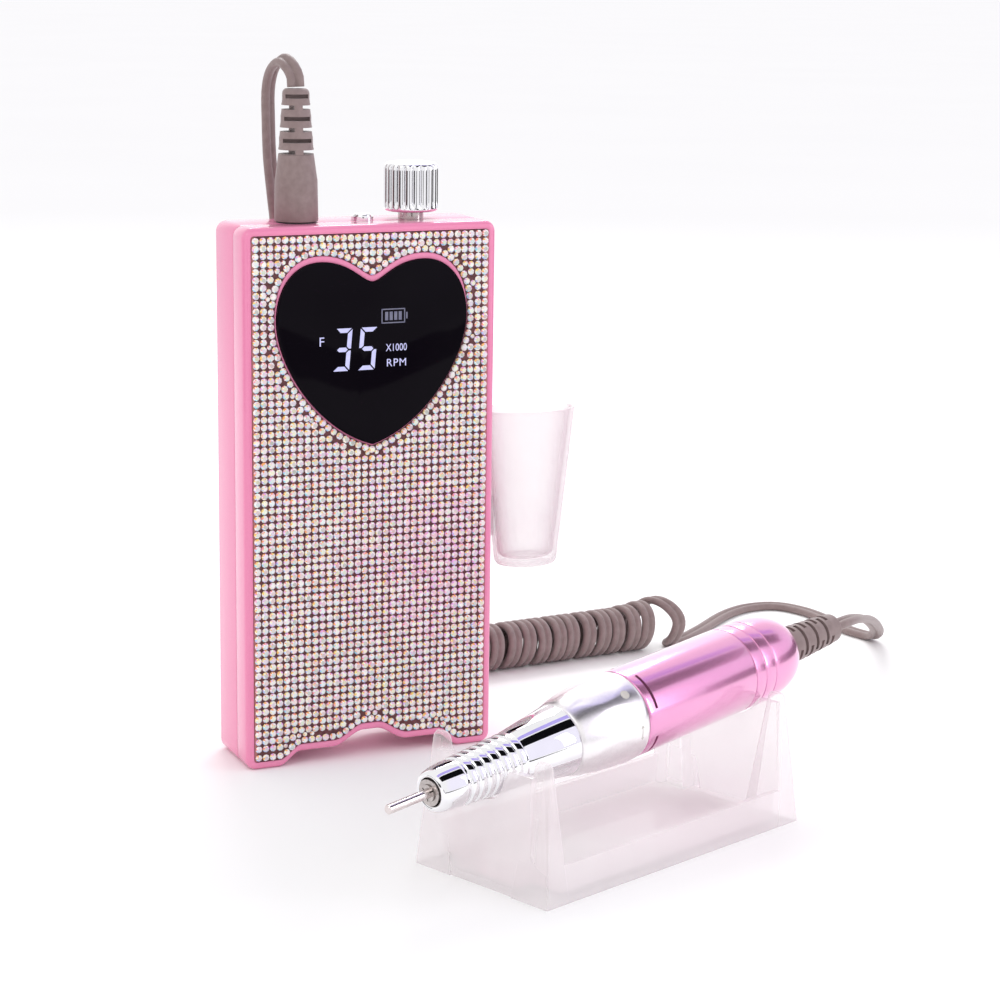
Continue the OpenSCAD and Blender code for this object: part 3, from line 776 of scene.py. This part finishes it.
def letters(text, x, z, h, spacing=1.0, squeeze=1.0):
    """Block letters drawn by a built-in face, h tall, with their left end at x and foot at z."""
    c = bpy.data.curves.new("t", "FONT")
    c.body = text
    c.size = h / 0.7 * MM
    c.space_character = spacing
    c.extrude = 0.02 * MM
    c.resolution_u = 4
    o = bpy.data.objects.new("t", c)
    bpy.context.scene.collection.objects.link(o)
    bpy.context.view_layer.update()
    me = bpy.data.meshes.new_from_object(o.evaluated_get(bpy.context.evaluated_depsgraph_get()))
    px, pz = on_glass(x, z)
    verts = [(px + squeeze * v.co.x / MM, LENS_Y - 0.01 - v.co.z / MM, pz + v.co.y / MM) for v in me.vertices]
    faces = [tuple(p.vertices) for p in me.polygons]
    bpy.data.objects.remove(o)
    return verts, faces


marks = digit("3", -11.5, 109.7, 4.8, 11.6, 1.2, 0.09) + digit("5", -4.3, 109.7, 5.0, 11.6, 1.2, 0.09)
marks += [letters("F", -15.4, 116.7, 2.5), letters("X1000", 4.0, 114.5, 2.0, 1.02, 0.79),
          letters("RPM", 4.1, 110.3, 2.1, 1.12)]
piece("display_marks", join(*marks), "glow", "console", (), IN_CASE)
icon = [rect(2.7, 122.1, 9.6, 122.4), rect(2.7, 125.8, 9.6, 126.1), rect(2.7, 122.1, 3.0, 126.1),
        rect(9.3, 122.1, 9.6, 126.1), rect(9.9, 123.2, 10.3, 125)]
icon += [rect(3.75 + 1.32 * i, 122.95, 4.65 + 1.32 * i, 125.25) for i in range(4)]
piece("battery_sign", join(*icon), "dim", "console", (), IN_CASE)


# ---------------------------------------------------------------- stones
STONE_P = 2.085
STONE_R = 1.02
FACETS = 8


def inside(poly, x, z):
    hit, n = False, len(poly)
    for i in range(n):
        (x0, z0), (x1, z1) = poly[i - 1], poly[i]
        if (z0 > z) != (z1 > z) and x < x0 + (z - z0) * (x1 - x0) / (z1 - z0):
            hit = not hit
    return hit


def along(line, step, closed=True):
    """Points a step apart along an outline."""
    pts = [Vector(p) for p in line] + ([Vector(line[0])] if closed else [])
    total = sum((b - a).length for a, b in zip(pts, pts[1:]))
    n = round(total / step)
    step = total / n
    out, need = [], 0.0
    for a, b in zip(pts, pts[1:]):
        d = (b - a).length
        while need <= d and len(out) < n + (0 if closed else 1):
            out.append(tuple(a.lerp(b, need / d)))
            need += step
        need -= d
    return out


def spread_out(placed, held, keep, limits):
    """Pushes stones that sit too close together apart; the first ones hold their places."""
    left, right, top = limits
    pts = [[x, z] for x, z, _ in placed]
    for _ in range(24):
        cells = {}
        for i, (x, z) in enumerate(pts):
            cells.setdefault((round(x / 2.2), round(z / 2.2)), []).append(i)
        for i in range(held, len(pts)):
            x, z = pts[i]
            a, b = round(x / 2.2), round(z / 2.2)
            for j in [j for k in (a - 1, a, a + 1) for m in (b - 1, b, b + 1) for j in cells.get((k, m), ())]:
                u, v = x - pts[j][0], z - pts[j][1]
                d = math.hypot(u, v)
                if i != j and 0 < d < STONE_P * 0.97:
                    push = (STONE_P * 0.97 - d) / d * (0.8 if j < held else 0.4)
                    x, z = x + u * push, z + v * push
            x, z = min(max(x, left), right), min(z, top)
            if z > wave(x) + PANEL_IN + STONE_R + 0.2 and not inside(keep, x, z):
                pts[i] = [x, z]
    return [(x, z, scale) for (x, z), (_, _, scale) in zip(pts, placed)]


def stone_places():
    keep = rim(STONE_R + 0.05)
    ring = along(keep, STONE_P)
    left, right = -W2 + PANEL_IN + STONE_R + 0.15, W2 - PANEL_IN - STONE_R - 0.15
    low = [(x, wave(x) + PANEL_IN + STONE_R + 0.2) for x in
           [left + (right - left) * i / 200 for i in range(201)]]
    foot = along(low, STONE_P, closed=False)
    cols = round((right - left) / STONE_P)
    placed = [(x, z, 1.0) for x, z in ring + foot]
    top = H - PANEL_IN - STONE_R - 0.15
    rows = int((top - 2) / STONE_P)
    fixed = ring + foot
    for j in range(rows + 1):
        for i in range(cols + 1):
            x, z = left + (right - left) * i / cols, top - j * STONE_P
            if z < wave(x) + PANEL_IN + STONE_R + 0.2 or inside(keep, x, z):
                continue
            near = min((math.hypot(x - u, z - v) for u, v in fixed if abs(x - u) < 3 and abs(z - v) < 3), default=9)
            if near < STONE_P * 0.74:
                continue
            corner = math.hypot(max(0, abs(x) - 32.5), max(0, z - 145.2))
            if corner > 1.9:
                continue
            placed.append((x, z, 1.0))
    placed = spread_out(placed, len(fixed), keep, (left, right, top))
    cells = {}
    for x, z, _ in placed:
        cells.setdefault((round(x / 3), round(z / 3)), []).append((x, z))
    for limit, scale in ((0.93, 0.95), (0.84, 0.8), (0.76, 0.66)):
        for j in range(int((top - 2) / 0.3)):
            for i in range(int((right - left) / 0.3) + 1):
                x, z = left + 0.3 * i, top - 0.3 * j
                if z < wave(x) + PANEL_IN + STONE_R or math.hypot(max(0, abs(x) - 32.5), max(0, z - 145.2)) > 1.9:
                    continue
                a, b = round(x / 3), round(z / 3)
                if any(math.hypot(x - u, z - v) < STONE_P * limit for k in (a - 1, a, a + 1)
                       for m in (b - 1, b, b + 1) for u, v in cells.get((k, m), ())):
                    continue
                if inside(keep, x, z):
                    continue
                cells.setdefault((a, b), []).append((x, z))
                placed.append((x, z, scale))
    return placed


# Colours for painted reflections off the stones' iridescent coat: tables, then facets by the way they face.
TABLES = [(0.80, 0.93, 0.74), (0.93, 0.92, 0.66), (0.9, 0.86, 0.84), (0.95, 0.95, 0.92), (0.9, 0.72, 0.74),
          (0.62, 0.66, 0.62), (0.74, 0.88, 0.9), (0.78, 0.7, 0.85)]
WARM = [(0.95, 0.3, 0.08), (0.95, 0.55, 0.12), (0.93, 0.22, 0.2), (0.95, 0.75, 0.3)]
COOL = [(0.25, 0.7, 0.85), (0.35, 0.45, 0.9), (0.5, 0.85, 0.85), (0.55, 0.42, 0.85)]
ROSE = [(0.9, 0.35, 0.55), (0.75, 0.3, 0.75), (0.95, 0.7, 0.75), (0.9, 0.5, 0.6)]
PALE = [(0.92, 0.88, 0.85), (0.85, 0.8, 0.82), (0.95, 0.9, 0.75), (0.75, 0.7, 0.75)]


def facet_colour(direction, spin, pink_reflection):
    """Painted reflection: colour of a facet that faces a direction (degrees from +x in the panel), as light off an
    iridescent coat gives it.
    """
    a = (direction + spin) % 360
    roll = random.random()
    if roll < 0.34:
        c = random.choice(PALE)
    elif 80 < a < 190:
        c = random.choice(WARM if roll < 0.8 else ROSE)
    elif 190 <= a < 330:
        c = random.choice(COOL if roll < 0.82 else PALE)
    else:
        c = random.choice(PALE if roll < 0.7 else ROSE)
    if random.random() < pink_reflection * 0.6:
        c = random.choice(ROSE)
    return c


def stones():
    verts, faces, tints = [], [], []
    for x, z, scale in stone_places():
        x += random.uniform(-0.06, 0.06)
        z += random.uniform(-0.06, 0.06)
        r = STONE_R * scale * random.uniform(0.93, 1.02)
        spin = random.uniform(0, 45)
        tip = Vector((random.gauss(0, 0.035), random.gauss(0, 0.035)))
        base = len(verts)
        lean = lambda u, v, y: y + tip.x * u + tip.y * v
        rings = [(1.0, 0.05, 0.0), (1.0, -0.22, 0.0), (0.56, -0.72, 22.5)]
        for k, y, off in rings:
            for i in range(FACETS):
                a = math.radians(spin + off + 45 * i)
                u, v = r * k * math.cos(a), r * k * math.sin(a)
                verts.append((x + u, lean(u, v, y), z + v))
        # painted pink reflection of the surroundings, strongest near x 20, z 55
        pink_reflection = math.exp(-((x - 20) ** 2 / 500 + (z - 55) ** 2 / 500))
        hue = random.uniform(-35, 35)
        gain = random.uniform(0.6, 0.95)
        for i in range(FACETS):
            j = (i + 1) % FACETS
            faces.append((base + i, base + j, base + 8 + j, base + 8 + i))
            # dark reddish sides of the stones: painted shade, like the gaps between them
            tints.append((0.4, 0.22, 0.22))
            faces.append((base + 8 + i, base + 8 + j, base + 16 + i))
            tints.append(facet_colour(spin + 45 * i + 22.5, hue, pink_reflection))
            faces.append((base + 8 + j, base + 16 + j, base + 16 + i))
            tints.append(facet_colour(spin + 45 * i + 45, hue, pink_reflection))
        faces.append(tuple(base + 16 + i for i in range(FACETS)))
        table = random.choice(TABLES)
        # painted pink reflection on the table facet
        if random.random() < pink_reflection * 0.5:
            table = (0.92, 0.62, 0.7)
        tints.append((table[0] * gain * 0.94, table[1] * gain * 0.92, table[2] * gain * 0.88))
        # dark back face towards the bed: painted shade
        faces.append(tuple(base + i for i in reversed(range(FACETS))))
        tints.append((0.3, 0.15, 0.15))
    o = raw_object("stones", (verts, faces), IN_CASE)
    # per-face colours: painted reflections of the coat and painted shade on the stones' sides
    layer = o.data.attributes.new("fire", "FLOAT_COLOR", "FACE")
    for i, c in enumerate(tints):
        layer.data[i].color = (*c, 1)
    o.data.materials.append(MATS["stone"])
    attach(o, "console")
    return o


stones()


# ---------------------------------------------------------------- top controls
TOP = H
knob_lo, knob_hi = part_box("speed_knob")
KNOB = Matrix.Translation(((knob_lo.x + knob_hi.x) / 2, (knob_lo.y + knob_hi.y) / 2, knob_lo.z))
KNOB_R, FLUTES = 7.5, 20


def knob_shape(a, r, z):
    """Rounded ribs with narrow grooves, which run out towards the top and the foot."""
    if r < 4:
        return r
    fade = smooth_step((z - 0.9) / 0.7) * smooth_step((13.4 - z) / 1.6)
    phase = (a * FLUTES / TAU) % 1.0
    rib = math.sqrt(max(0.0, 1 - (2 * phase - 1) ** 2 * 0.96))
    return r - fade * 0.95 * (1 - rib)


knob_profile = soften([(0.01, 0), (6.9, 0), (7.45, 0.5), (7.5, 1.3), (7.5, 12.0), (7.1, 12.9), (6.0, 13.35),
                       (3.5, 13.65), (0.01, 13.78)], 0.5)
tall = [(7.5, 1.3 + 10.7 * i / 12) for i in range(1, 12)]
at = next(i for i, p in enumerate(knob_profile) if p[1] > 6)
knob_profile = knob_profile[:at] + [p for p in tall if knob_profile[at - 1][1] < p[1] < knob_profile[at][1]] + knob_profile[at:]
piece("knob_cap", turned(knob_profile, FLUTES * 14, shape=knob_shape), "chrome", "knob",
      ["speed_knob"], KNOB, sharp=50)

sock_lo, sock_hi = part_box("jack_collar")
SOCK = Matrix.Translation(((sock_lo.x + sock_hi.x) / 2, (sock_lo.y + sock_hi.y) / 2, 0))
plug_profile = soften([(0.3, 149.4), (5.95, 149.4), (5.75, 160.4), (5.6, 161.2), (4.95, 166), (4.8, 167.2),
                       (0.3, 167.2)], 0.25)
piece("plug_shell", turned(plug_profile), "taupe", "plug", ["plug_body"], SOCK)


def relief(name, r0, r1, z0, z1, slots, body, nodes, place):
    """Tapered strain relief. Each slot is (height on the axis, direction in degrees, share of the width)
    and is cut in from that direction and from the opposite one, up to a web in the middle."""
    prof = [(0.3, z0), (r0, z0)]
    ends = [z0] + sorted(z for z, _, _ in slots) + [z1]
    for z in ends[1:-1]:
        r = r0 + (r1 - r0) * (z - z0) / (z1 - z0)
        prof += [(r + 0.1, z - 0.75), (r + 0.1, z + 0.75), (r - 0.02, z + 1.25)]
    prof += [(r1, z1 - 0.5), (r1 - 0.5, z1), (0.3, z1)]
    o = raw_object(name, turned(soften(prof, 0.25), 72), place)
    cuts = []
    for z, turn, share in slots:
        r = r0 + (r1 - r0) * (z - z0) / (z1 - z0)
        for half_turn in (-90, 90):
            cuts.append(raw_object("tool", box_mesh((-r * share, 1.1, z - 0.55), (r * share, 9.0, z + 0.55)),
                                   place @ Matrix.Rotation(math.radians(turn + half_turn), 4, "Z")))
    cut(o, *cuts)
    return dress(o, "taupe", body, nodes, sharp=30)


boot = relief("plug_relief", 4.7, 3.4, 167.3, 184.6,
              [(167.9, 352, 1.2), (170.9, 258, 0.86), (173.8, 352, 1.2), (176.7, 258, 0.86), (179.7, 352, 1.2),
               (182.6, 258, 0.86)], "plug", ["plug_boot"], SOCK)
relief("handpiece_boot", 5.2, 3.9, 131.1, 153.4,
       [(134.1, 331, 0.86), (136.5, 241, 0.86), (139.0, 331, 0.86), (141.5, 241, 0.86), (144.0, 331, 0.86),
        (146.3, 241, 0.86), (148.7, 331, 0.86)], "handpiece", ["handpiece_relief"], ON_AXIS)


# ---------------------------------------------------------------- cup
def oval(a, b, z, n=72, c=(16.3, 65)):
    return [(c[0] + a * math.cos(TAU * k / n), c[1] + b * math.sin(TAU * k / n), z) for k in range(n)]


cup_lo, cup_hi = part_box("cup_holder")
CUP_C = (CASE.x / MM + 53.3, CASE.y / MM + 14)


def cup_mesh():
    out = [(4, 3, 48.0), (7.6, 5.5, 48.0), (8.7, 6.5, 48.35), (9.35, 7.1, 49.2), (9.6, 7.33, 50.4)]
    z0, z1 = 50.4, 93.0
    for i in range(1, 9):
        t = i / 8
        out.append((9.6 + (14.5 - 9.6) * t, 7.33 + (8.37 - 7.33) * t, z0 + (z1 - z0) * t))
    out += [(14.6, 8.4, 93.2), (14.45, 8.25, 93.6)]
    inner = [(13.7, 7.55, 93.6), (13.45, 7.3, 93.2)]
    for i in range(8, -1, -1):
        t = i / 8
        inner.append((8.5 + (13.2 - 8.5) * t, 6.15 + (7.1 - 6.15) * t, 52.2 + (92.2 - 52.2) * t))
    inner += [(8.1, 5.8, 51.2), (7.2, 5.1, 50.5), (4, 3, 50.3), (0.4, 0.3, 50.3)]
    rings = [oval(a, b, z, c=CUP_C) for a, b, z in [(0.4, 0.3, 48.0)] + out + inner]
    return skin(rings)


cup = piece("cup", cup_mesh(), "cup", "cup", ["cup_holder"])


def cup_hook():
    """The cup's T-shaped tongue."""
    x0 = CASE.x / MM + W2
    y0 = CUP_C[1]
    return join(box_mesh((x0 + 0.55, y0 - 3.4, 57.6), (x0 + 1.65, y0 + 3.4, 69)),
                box_mesh((x0 + 1.6, y0 - 2.2, 57.6), (x0 + 5.6, y0 + 2.2, 69)))


hook = piece("cup_tongue", cup_hook(), "cup", "cup")


# ---------------------------------------------------------------- handpiece
nose = [(3.55, 0.5), (4.1, 0.25), (4.75, 0.6), (5.25, 1.6), (5.6, 3.4), (5.8, 5.5), (5.9, 7.5)]
for i in range(7):
    s, r = 8.5 + i * 2.62, 6.0 + i * 0.135
    nose += [(r - 0.42, s), (r - 0.42, s + 0.35), (r + 0.0, s + 0.6), (r + 0.14, s + 1.2), (r + 0.13, s + 2.3)]
nose += [(6.75, 27.0), (7.1, 28.0), (9.08, 42.9), (9.02, 43.2), (5.4, 43.3), (5.3, 8.0), (3.6, 7.5)]
piece("nose", turned(soften(nose, 0.18, closed=True), 128, closed=True), "chrome", "handpiece",
      ["nose_cone"], ON_AXIS, sharp=28)


def sleeve_shape(a, r, z):
    """Shallow almond-shaped flats around the sleeve."""
    if r < 9 or z < 44:
        return r
    count = 8
    phase = ((a * count / TAU) % 1.0 - 0.5) * 2
    t = (z - 46.0) / 17.0
    if not 0 < t < 1:
        return r
    width = 0.8 * math.sin(math.pi * t) ** 0.8
    if abs(phase) >= width or width <= 0:
        return r
    return r - 0.28 * (1 - (phase / width) ** 2) * math.sin(math.pi * t) ** 0.5


sleeve_curve = [(9.2, 43.6), (9.6, 45.0), (10.0, 46.5), (10.35, 48), (10.65, 49.5), (10.9, 51), (11.1, 52.5),
                (11.25, 54), (11.37, 55.5), (11.45, 57), (11.52, 58.5), (11.56, 60), (11.58, 61.5),
                (11.57, 63), (11.52, 64.4), (11.4, 65.3), (11.1, 65.6)]
sleeve = [(5.3, 43.5), (9.0, 43.45)] + sleeve_curve + [(10.05, 65.6), (10.0, 56), (5.3, 55.9)]
piece("twist_sleeve", turned(sleeve, 192, closed=True, shape=sleeve_shape), "silver", "sleeve",
      ["lock_sleeve"], ON_AXIS, sharp=40)



def on_sleeve(turn, station, lift=0.03):
    """Point just off the sleeve's surface at an angle in degrees and a station."""
    r = next(r0 + (r1 - r0) * (station - z0) / (z1 - z0) for (r0, z0), (r1, z1) in zip(sleeve_curve, sleeve_curve[1:])
             if z0 <= station <= z1) + lift
    a = math.radians(turn)
    return r * math.cos(a), r * math.sin(a), station


def decal(points):
    """Thin plate that follows the sleeve, from outline points (angle, station)."""
    return skin([[on_sleeve(t, z, -0.1) for t, z in points], [on_sleeve(t, z) for t, z in points]])


arrow = [decal([(269 + i, 62.35), (270 + i, 62.35), (270 + i, 62.6), (269 + i, 62.6)]) for i in range(12)]
arrow += [decal([(269, 61.9), (269, 63.05), (265, 62.5)]), decal([(281, 61.9), (285, 62.5), (281, 63.05)])]
for k in range(-6, 6):
    low, high = (1.25 * math.sqrt(1 - (q / 6) ** 2) + 0.02 for q in (k, k + 1))
    arrow.append(decal([(221 + k, 60.6 - low), (222 + k, 60.6 - high), (222 + k, 60.6 + high), (221 + k, 60.6 + low)]))
piece("sleeve_mark", join(*arrow), "mark", "sleeve", (), ON_AXIS)

grip = soften([(10.25, 65.8), (11.1, 65.75), (11.36, 66.1), (11.4, 67), (11.4, 107.1), (11.35, 107.3), (10.25, 107.3)],
              0.15, closed=True)
grip_o = raw_object("grip", turned(grip, 128, closed=True), ON_AXIS)
slot_tools = []
for i in range(4):
    a0, a1 = math.radians(20 + 90 * i), math.radians(72 + 90 * i)
    rings = []
    for k in range(25):
        a = a0 + (a1 - a0) * k / 24
        ca, sa = math.cos(a), math.sin(a)
        rings.append([(9.8 * ca, 9.8 * sa, 68.25), (12 * ca, 12 * sa, 68.25), (12 * ca, 12 * sa, 69.15),
                      (9.8 * ca, 9.8 * sa, 69.15)])
    slot_tools.append(raw_object("tool", skin(rings), ON_AXIS))
cut(grip_o, *slot_tools)
dress(grip_o, "grip", "handpiece", ["handpiece_housing"], sharp=35)
# dark sheet just inside the vent slots: painted shade in the housing
piece("vent_shade_sheet", turned([(10.24, 66.2), (10.4, 66.2), (10.4, 71.5), (10.24, 71.5)], 96, closed=True),
      "vent", "handpiece", (), ON_AXIS)

DOME_S, DOME_L, DOME_P, GRIP_R = 114.0, 17.9, 2.76, 11.4
cap = [(10.25, 107.45), (11.3, 107.45), (11.4, 107.65), (11.4, 111.05), (11.18, 111.15), (11.18, 111.45),
       (11.4, 111.55), (11.4, 115.1), (11.2, 115.2), (11.2, 115.45), (11.38, 115.55)]
for i in range(1, 29):
    share = 0.95 * math.sin(math.radians(90 * i / 28))
    if share * DOME_L > 2:
        cap.append((GRIP_R * (1 - share ** DOME_P) ** (1 / DOME_P), DOME_S + DOME_L * share))
cap += [(3.95, 131.0), (3.95, 126), (9.5, 121), (10.25, 114)]
piece("tail_cap", turned(soften(cap, 0.08, closed=True), 128, closed=True), "grip", "handpiece",
      ["rear_cap"], ON_AXIS, sharp=30)
shank = [(0.01, -13.2), (0.95, -13.2), (1.175, -12.95), (1.175, 17.75), (0.95, 18), (0.01, 18)]
piece("tool_shank", turned(shank, 48), "shank", "bit", ["bit_pin"], ON_AXIS)

# ---------------------------------------------------------------- carried CAD nodes
LOOKS = {
    "display_module": "dark", "main_board": "board", "control_board": "board", "battery_left": "battery",
    "battery_right": "battery", "battery_tray": "dark", "charge_port": "steel", "jack_socket": "dark",
    "jack_collar": "dark", "button_collar": "chrome", "button_switch": "dark", "power_button": "chrome",
    "pot_body": "dark", "pot_bushing": "steel", "pot_nut": "steel", "pot_shaft": "steel",
    "case_screws": "steel", "cup_rail": "shell", "cradle": "clear", "spindle_housing": "steel",
    "mount_ring": "silver", "bearing_front": "steel", "bearing_rear": "steel", "motor_can": "steel",
    "motor_magnets": "dark", "motor_brushes": "copper", "motor_end_cap": "dark", "cam_ring": "steel",
    "spindle": "steel", "drive_coupling": "dark", "rotor": "copper", "rotor_shaft": "steel",
    "commutator": "copper", "collet_spring": "steel", "collet": "steel",
    "plug_pin": "chrome"}
for node, look in LOOKS.items():
    o = frame["nodes"][node]
    o.data.materials.clear()
    o.data.materials.append(MATS[look])
    bevel = o.modifiers.new("edges", "BEVEL")
    bevel.width = 0.0002
    bevel.segments = 2
    bevel.limit_method = "ANGLE"
    bevel.angle_limit = math.radians(40)


# ---------------------------------------------------------------- studio
def floor():
    me = bpy.data.meshes.new("floor")
    s = 25
    me.from_pydata([(-s, -s, 0), (s, -s, 0), (s, s, 0), (-s, s, 0)], [], [(0, 1, 2, 3)])
    o = bpy.data.objects.new("floor", me)
    bpy.context.scene.collection.objects.link(o)
    n = Nodes("floor_paper").set(Roughness=0.8, Specular_IOR_Level=0.0)
    f = n.noise(3, 2)
    n.link(n.ramp(f, (0.3, (0.96, 0.96, 0.96)), (0.7, (0.97, 0.97, 0.97))), "Base Color")
    me.materials.append(n.material)


def card(name, centre, u, v, low, high):
    """Card that only shows in reflections."""
    c, u, v = Vector(centre), Vector(u), Vector(v)
    me = bpy.data.meshes.new(name)
    me.from_pydata([c - u - v, c + u - v, c + u + v, c - u + v], [], [(0, 1, 2, 3)])
    me.materials.append(speckled(name, low, high, 4, (0.8, 0.9), Specular_IOR_Level=0.0).material)
    o = bpy.data.objects.new(name, me)
    bpy.context.scene.collection.objects.link(o)
    o.visible_camera = o.visible_diffuse = o.visible_shadow = o.visible_transmission = False


def area(name, loc, target, size, power, colour=(1, 1, 1)):
    light = bpy.data.lights.new(name, "AREA")
    light.shape = "RECTANGLE"
    light.size, light.size_y = size
    light.energy = power
    light.color = colour
    o = bpy.data.objects.new(name, light)
    bpy.context.scene.collection.objects.link(o)
    o.location = loc
    o.rotation_mode = "QUATERNION"
    o.rotation_quaternion = (Vector(target) - Vector(loc)).to_track_quat("-Z", "Y")
    return o


def world():
    """White all round, brighter low at the back and slightly violet low on the right."""
    w = bpy.data.worlds.new("studio")
    bpy.context.scene.world = w
    w.use_nodes = True
    t = w.node_tree
    back = t.nodes["Background"]
    coord = t.nodes.new("ShaderNodeTexCoord")

    def lobe(direction, near, far):
        d = t.nodes.new("ShaderNodeVectorMath")
        d.operation = "DOT_PRODUCT"
        t.links.new(coord.outputs["Generated"], d.inputs[0])
        d.inputs[1].default_value = Vector(direction).normalized()
        m = t.nodes.new("ShaderNodeMapRange")
        m.interpolation_type = "SMOOTHSTEP"
        t.links.new(d.outputs["Value"], m.inputs["Value"])
        m.inputs["From Min"].default_value = far
        m.inputs["From Max"].default_value = near
        return m.outputs[0]

    def blend(fac, a, b):
        m = t.nodes.new("ShaderNodeMix")
        m.data_type = "RGBA"
        t.links.new(fac, m.inputs["Factor"])
        for value, socket in ((a, m.inputs[6]), (b, m.inputs[7])):
            if isinstance(value, tuple):
                socket.default_value = value
            else:
                t.links.new(value, socket)
        return m.outputs[2]

    c = blend(lobe((0.35, 1, 0.12), 0.93, 0.78), (0.99, 0.985, 0.985, 1), (1.3, 1.29, 1.3, 1))
    c = blend(lobe((1, -0.35, 0.25), 0.85, 0.55), c, (0.98, 0.95, 1.08, 1))
    t.links.new(c, back.inputs["Color"])


floor()
world()
card("black_card_top", (0.38, -0.153, 0.56), (0.5, 0.189, 0), (-0.043, 0.114, 0.057), (0.002, 0.002, 0.003), (0.004, 0.004, 0.005))
card("lilac_card_top", (0.3, 0.057, 0.66), (0.5, 0.189, 0), (-0.022, 0.06, 0.02), (0.4, 0.34, 0.75), (0.44, 0.38, 0.8))
card("black_card_table", (0.2, -0.5, 0.002), (0.24, 0, 0), (0, 0.2, 0), (0.002, 0.002, 0.003), (0.004, 0.004, 0.005))
card("black_card_front", (-0.16, -0.66, 0.06), (0.09, -0.03, 0), (0, 0, 0.07), (0.002, 0.002, 0.003), (0.004, 0.004, 0.005))
card("black_card_left", (-0.7, -0.05, 0.06), (0, 0.34, 0), (0, 0, 0.07), (0.002, 0.002, 0.003), (0.004, 0.004, 0.005))
card("black_card_right", (0.66, 0.05, 0.06), (0, 0.3, 0), (0, 0, 0.07), (0.002, 0.002, 0.003), (0.004, 0.004, 0.005))
area("key", (-0.75, -0.6, 0.9), (0, 0, 0.06), (0.5, 0.25), 1.0)
area("strip", (0.75, -0.5, 0.35), (0, 0, 0.06), (0.12, 0.5), 1.0)
area("back", (0.3, 0.75, 0.8), (0, 0, 0.05), (0.5, 0.3), 3.8)
bpy.context.scene.view_settings.view_transform = "Standard"
